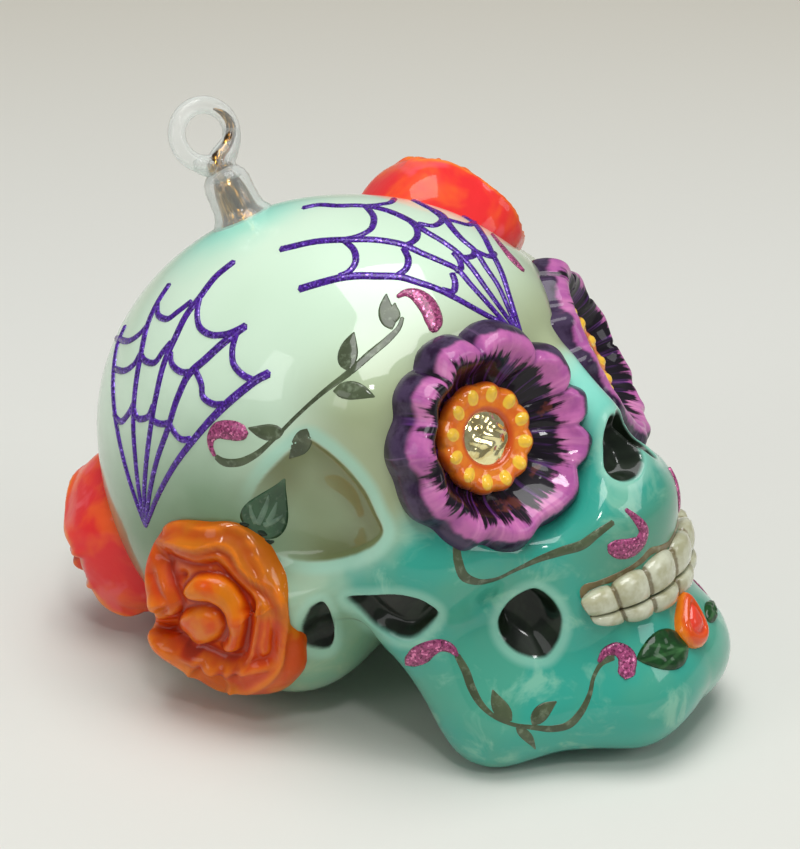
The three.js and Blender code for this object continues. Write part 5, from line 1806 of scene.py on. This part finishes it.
class SUGARSKULL_OT_stage(bpy.types.Operator):
    """Set the table, the soft studio light and the camera"""

    bl_idname = "sugar_skull.stage"
    bl_label = "Stage"

    def execute(self, context):
        _, colours = settings()
        start_clean()
        bpy.ops.mesh.primitive_circle_add(vertices=96, radius=4.0, fill_type="NGON")
        table = context.object
        table.name = "table"
        paint = Paint("pale_table", roughness=0.55)
        grain = paint.noise(300.0, 3.0)
        x, y, _ = paint.split(paint.place())
        ahead = x * float(-BACKWARD[0]) + y * float(-BACKWARD[1])
        near = paint.mix(grain * 0.1, colours.floor, linear(214, 213, 206))
        # Further back the table is painted darker and browner, as painted shade where less light reaches
        paint.set(base_color=paint.mix(ahead.step(0.1, 0.45), near, linear(212, 206, 190)))
        table.data.materials.append(paint.material)

        world = context.scene.world or bpy.data.worlds.new("studio")
        context.scene.world = world
        world.use_nodes = True
        sky = world.node_tree.nodes["Background"].inputs
        sky["Color"].default_value = (*linear(236, 238, 240), 1)
        sky["Strength"].default_value = 0.3
        for name, lamp in LAMPS.items():
            self.lamp(name, *lamp)
        context.scene.view_settings.view_transform = "Standard"

        camera = bpy.data.cameras.new("camera")
        camera.sensor_width = SENSOR_WIDTH
        camera.sensor_fit = "AUTO"
        camera.lens = FOCAL_PIXELS * SENSOR_WIDTH / max(PICTURE)
        camera.clip_start = 0.02
        holder = bpy.data.objects.new("camera", camera)
        context.collection.objects.link(holder)
        turn = Matrix((RIGHTWARD, UPWARD, BACKWARD)).transposed().to_4x4()
        holder.matrix_world = Matrix.Translation(EYE * MM) @ turn
        context.scene.camera = holder
        return {"FINISHED"}

    def lamp(self, name, place, size, power):
        """A square lamp that faces the ornament."""
        light = bpy.data.lights.new(name, "AREA")
        light.shape = "SQUARE"
        light.size = size
        light.energy = power
        holder = bpy.data.objects.new(name, light)
        bpy.context.collection.objects.link(holder)
        aim = Vector(LAMPS_AIM) - Vector(place)
        holder.matrix_world = Matrix.Translation(place) @ aim.to_track_quat("-Z", "Y").to_matrix().to_4x4()


OPERATORS = (
    SUGARSKULL_OT_skull_glass,
    SUGARSKULL_OT_hanger,
    SUGARSKULL_OT_eye_petals,
    SUGARSKULL_OT_eye_discs,
    SUGARSKULL_OT_roses,
    SUGARSKULL_OT_teeth,
    SUGARSKULL_OT_chin_spray,
    SUGARSKULL_OT_webs,
    SUGARSKULL_OT_commas,
    SUGARSKULL_OT_vines,
    SUGARSKULL_OT_stage,
)


class SugarSkullSettings(bpy.types.PropertyGroup):
    """All sizes and colours of the ornament."""

    sizes: PointerProperty(type=SugarSkullSizes, name="Sizes", description="Sizes of raised work")
    colours: PointerProperty(type=SugarSkullColours, name="Colours", description="Glass and paint")


class SUGARSKULL_PT_panel(bpy.types.Panel):
    """The ornament's pieces and their settings"""

    bl_idname = "SUGARSKULL_PT_panel"
    bl_label = "Sugar Skull"
    bl_space_type = "VIEW_3D"
    bl_region_type = "UI"
    bl_category = "Sugar Skull"

    def draw(self, context):
        for operator in OPERATORS:
            self.layout.operator(operator.bl_idname)
        for group in (context.scene.sugar_skull.sizes, context.scene.sugar_skull.colours):
            box = self.layout.box()
            for name in group.__annotations__:
                box.prop(group, name)


CLASSES = (SugarSkullSizes, SugarSkullColours, SugarSkullSettings, *OPERATORS, SUGARSKULL_PT_panel)


def register():
    for kind in CLASSES:
        bpy.utils.register_class(kind)
    bpy.types.Scene.sugar_skull = PointerProperty(type=SugarSkullSettings)


def unregister():
    del bpy.types.Scene.sugar_skull
    for kind in reversed(CLASSES):
        bpy.utils.unregister_class(kind)


def main():
    register()
    for operator in OPERATORS:
        group, name = operator.bl_idname.split(".")
        getattr(getattr(bpy.ops, group), name)()


if __name__ == "__main__":
    main()
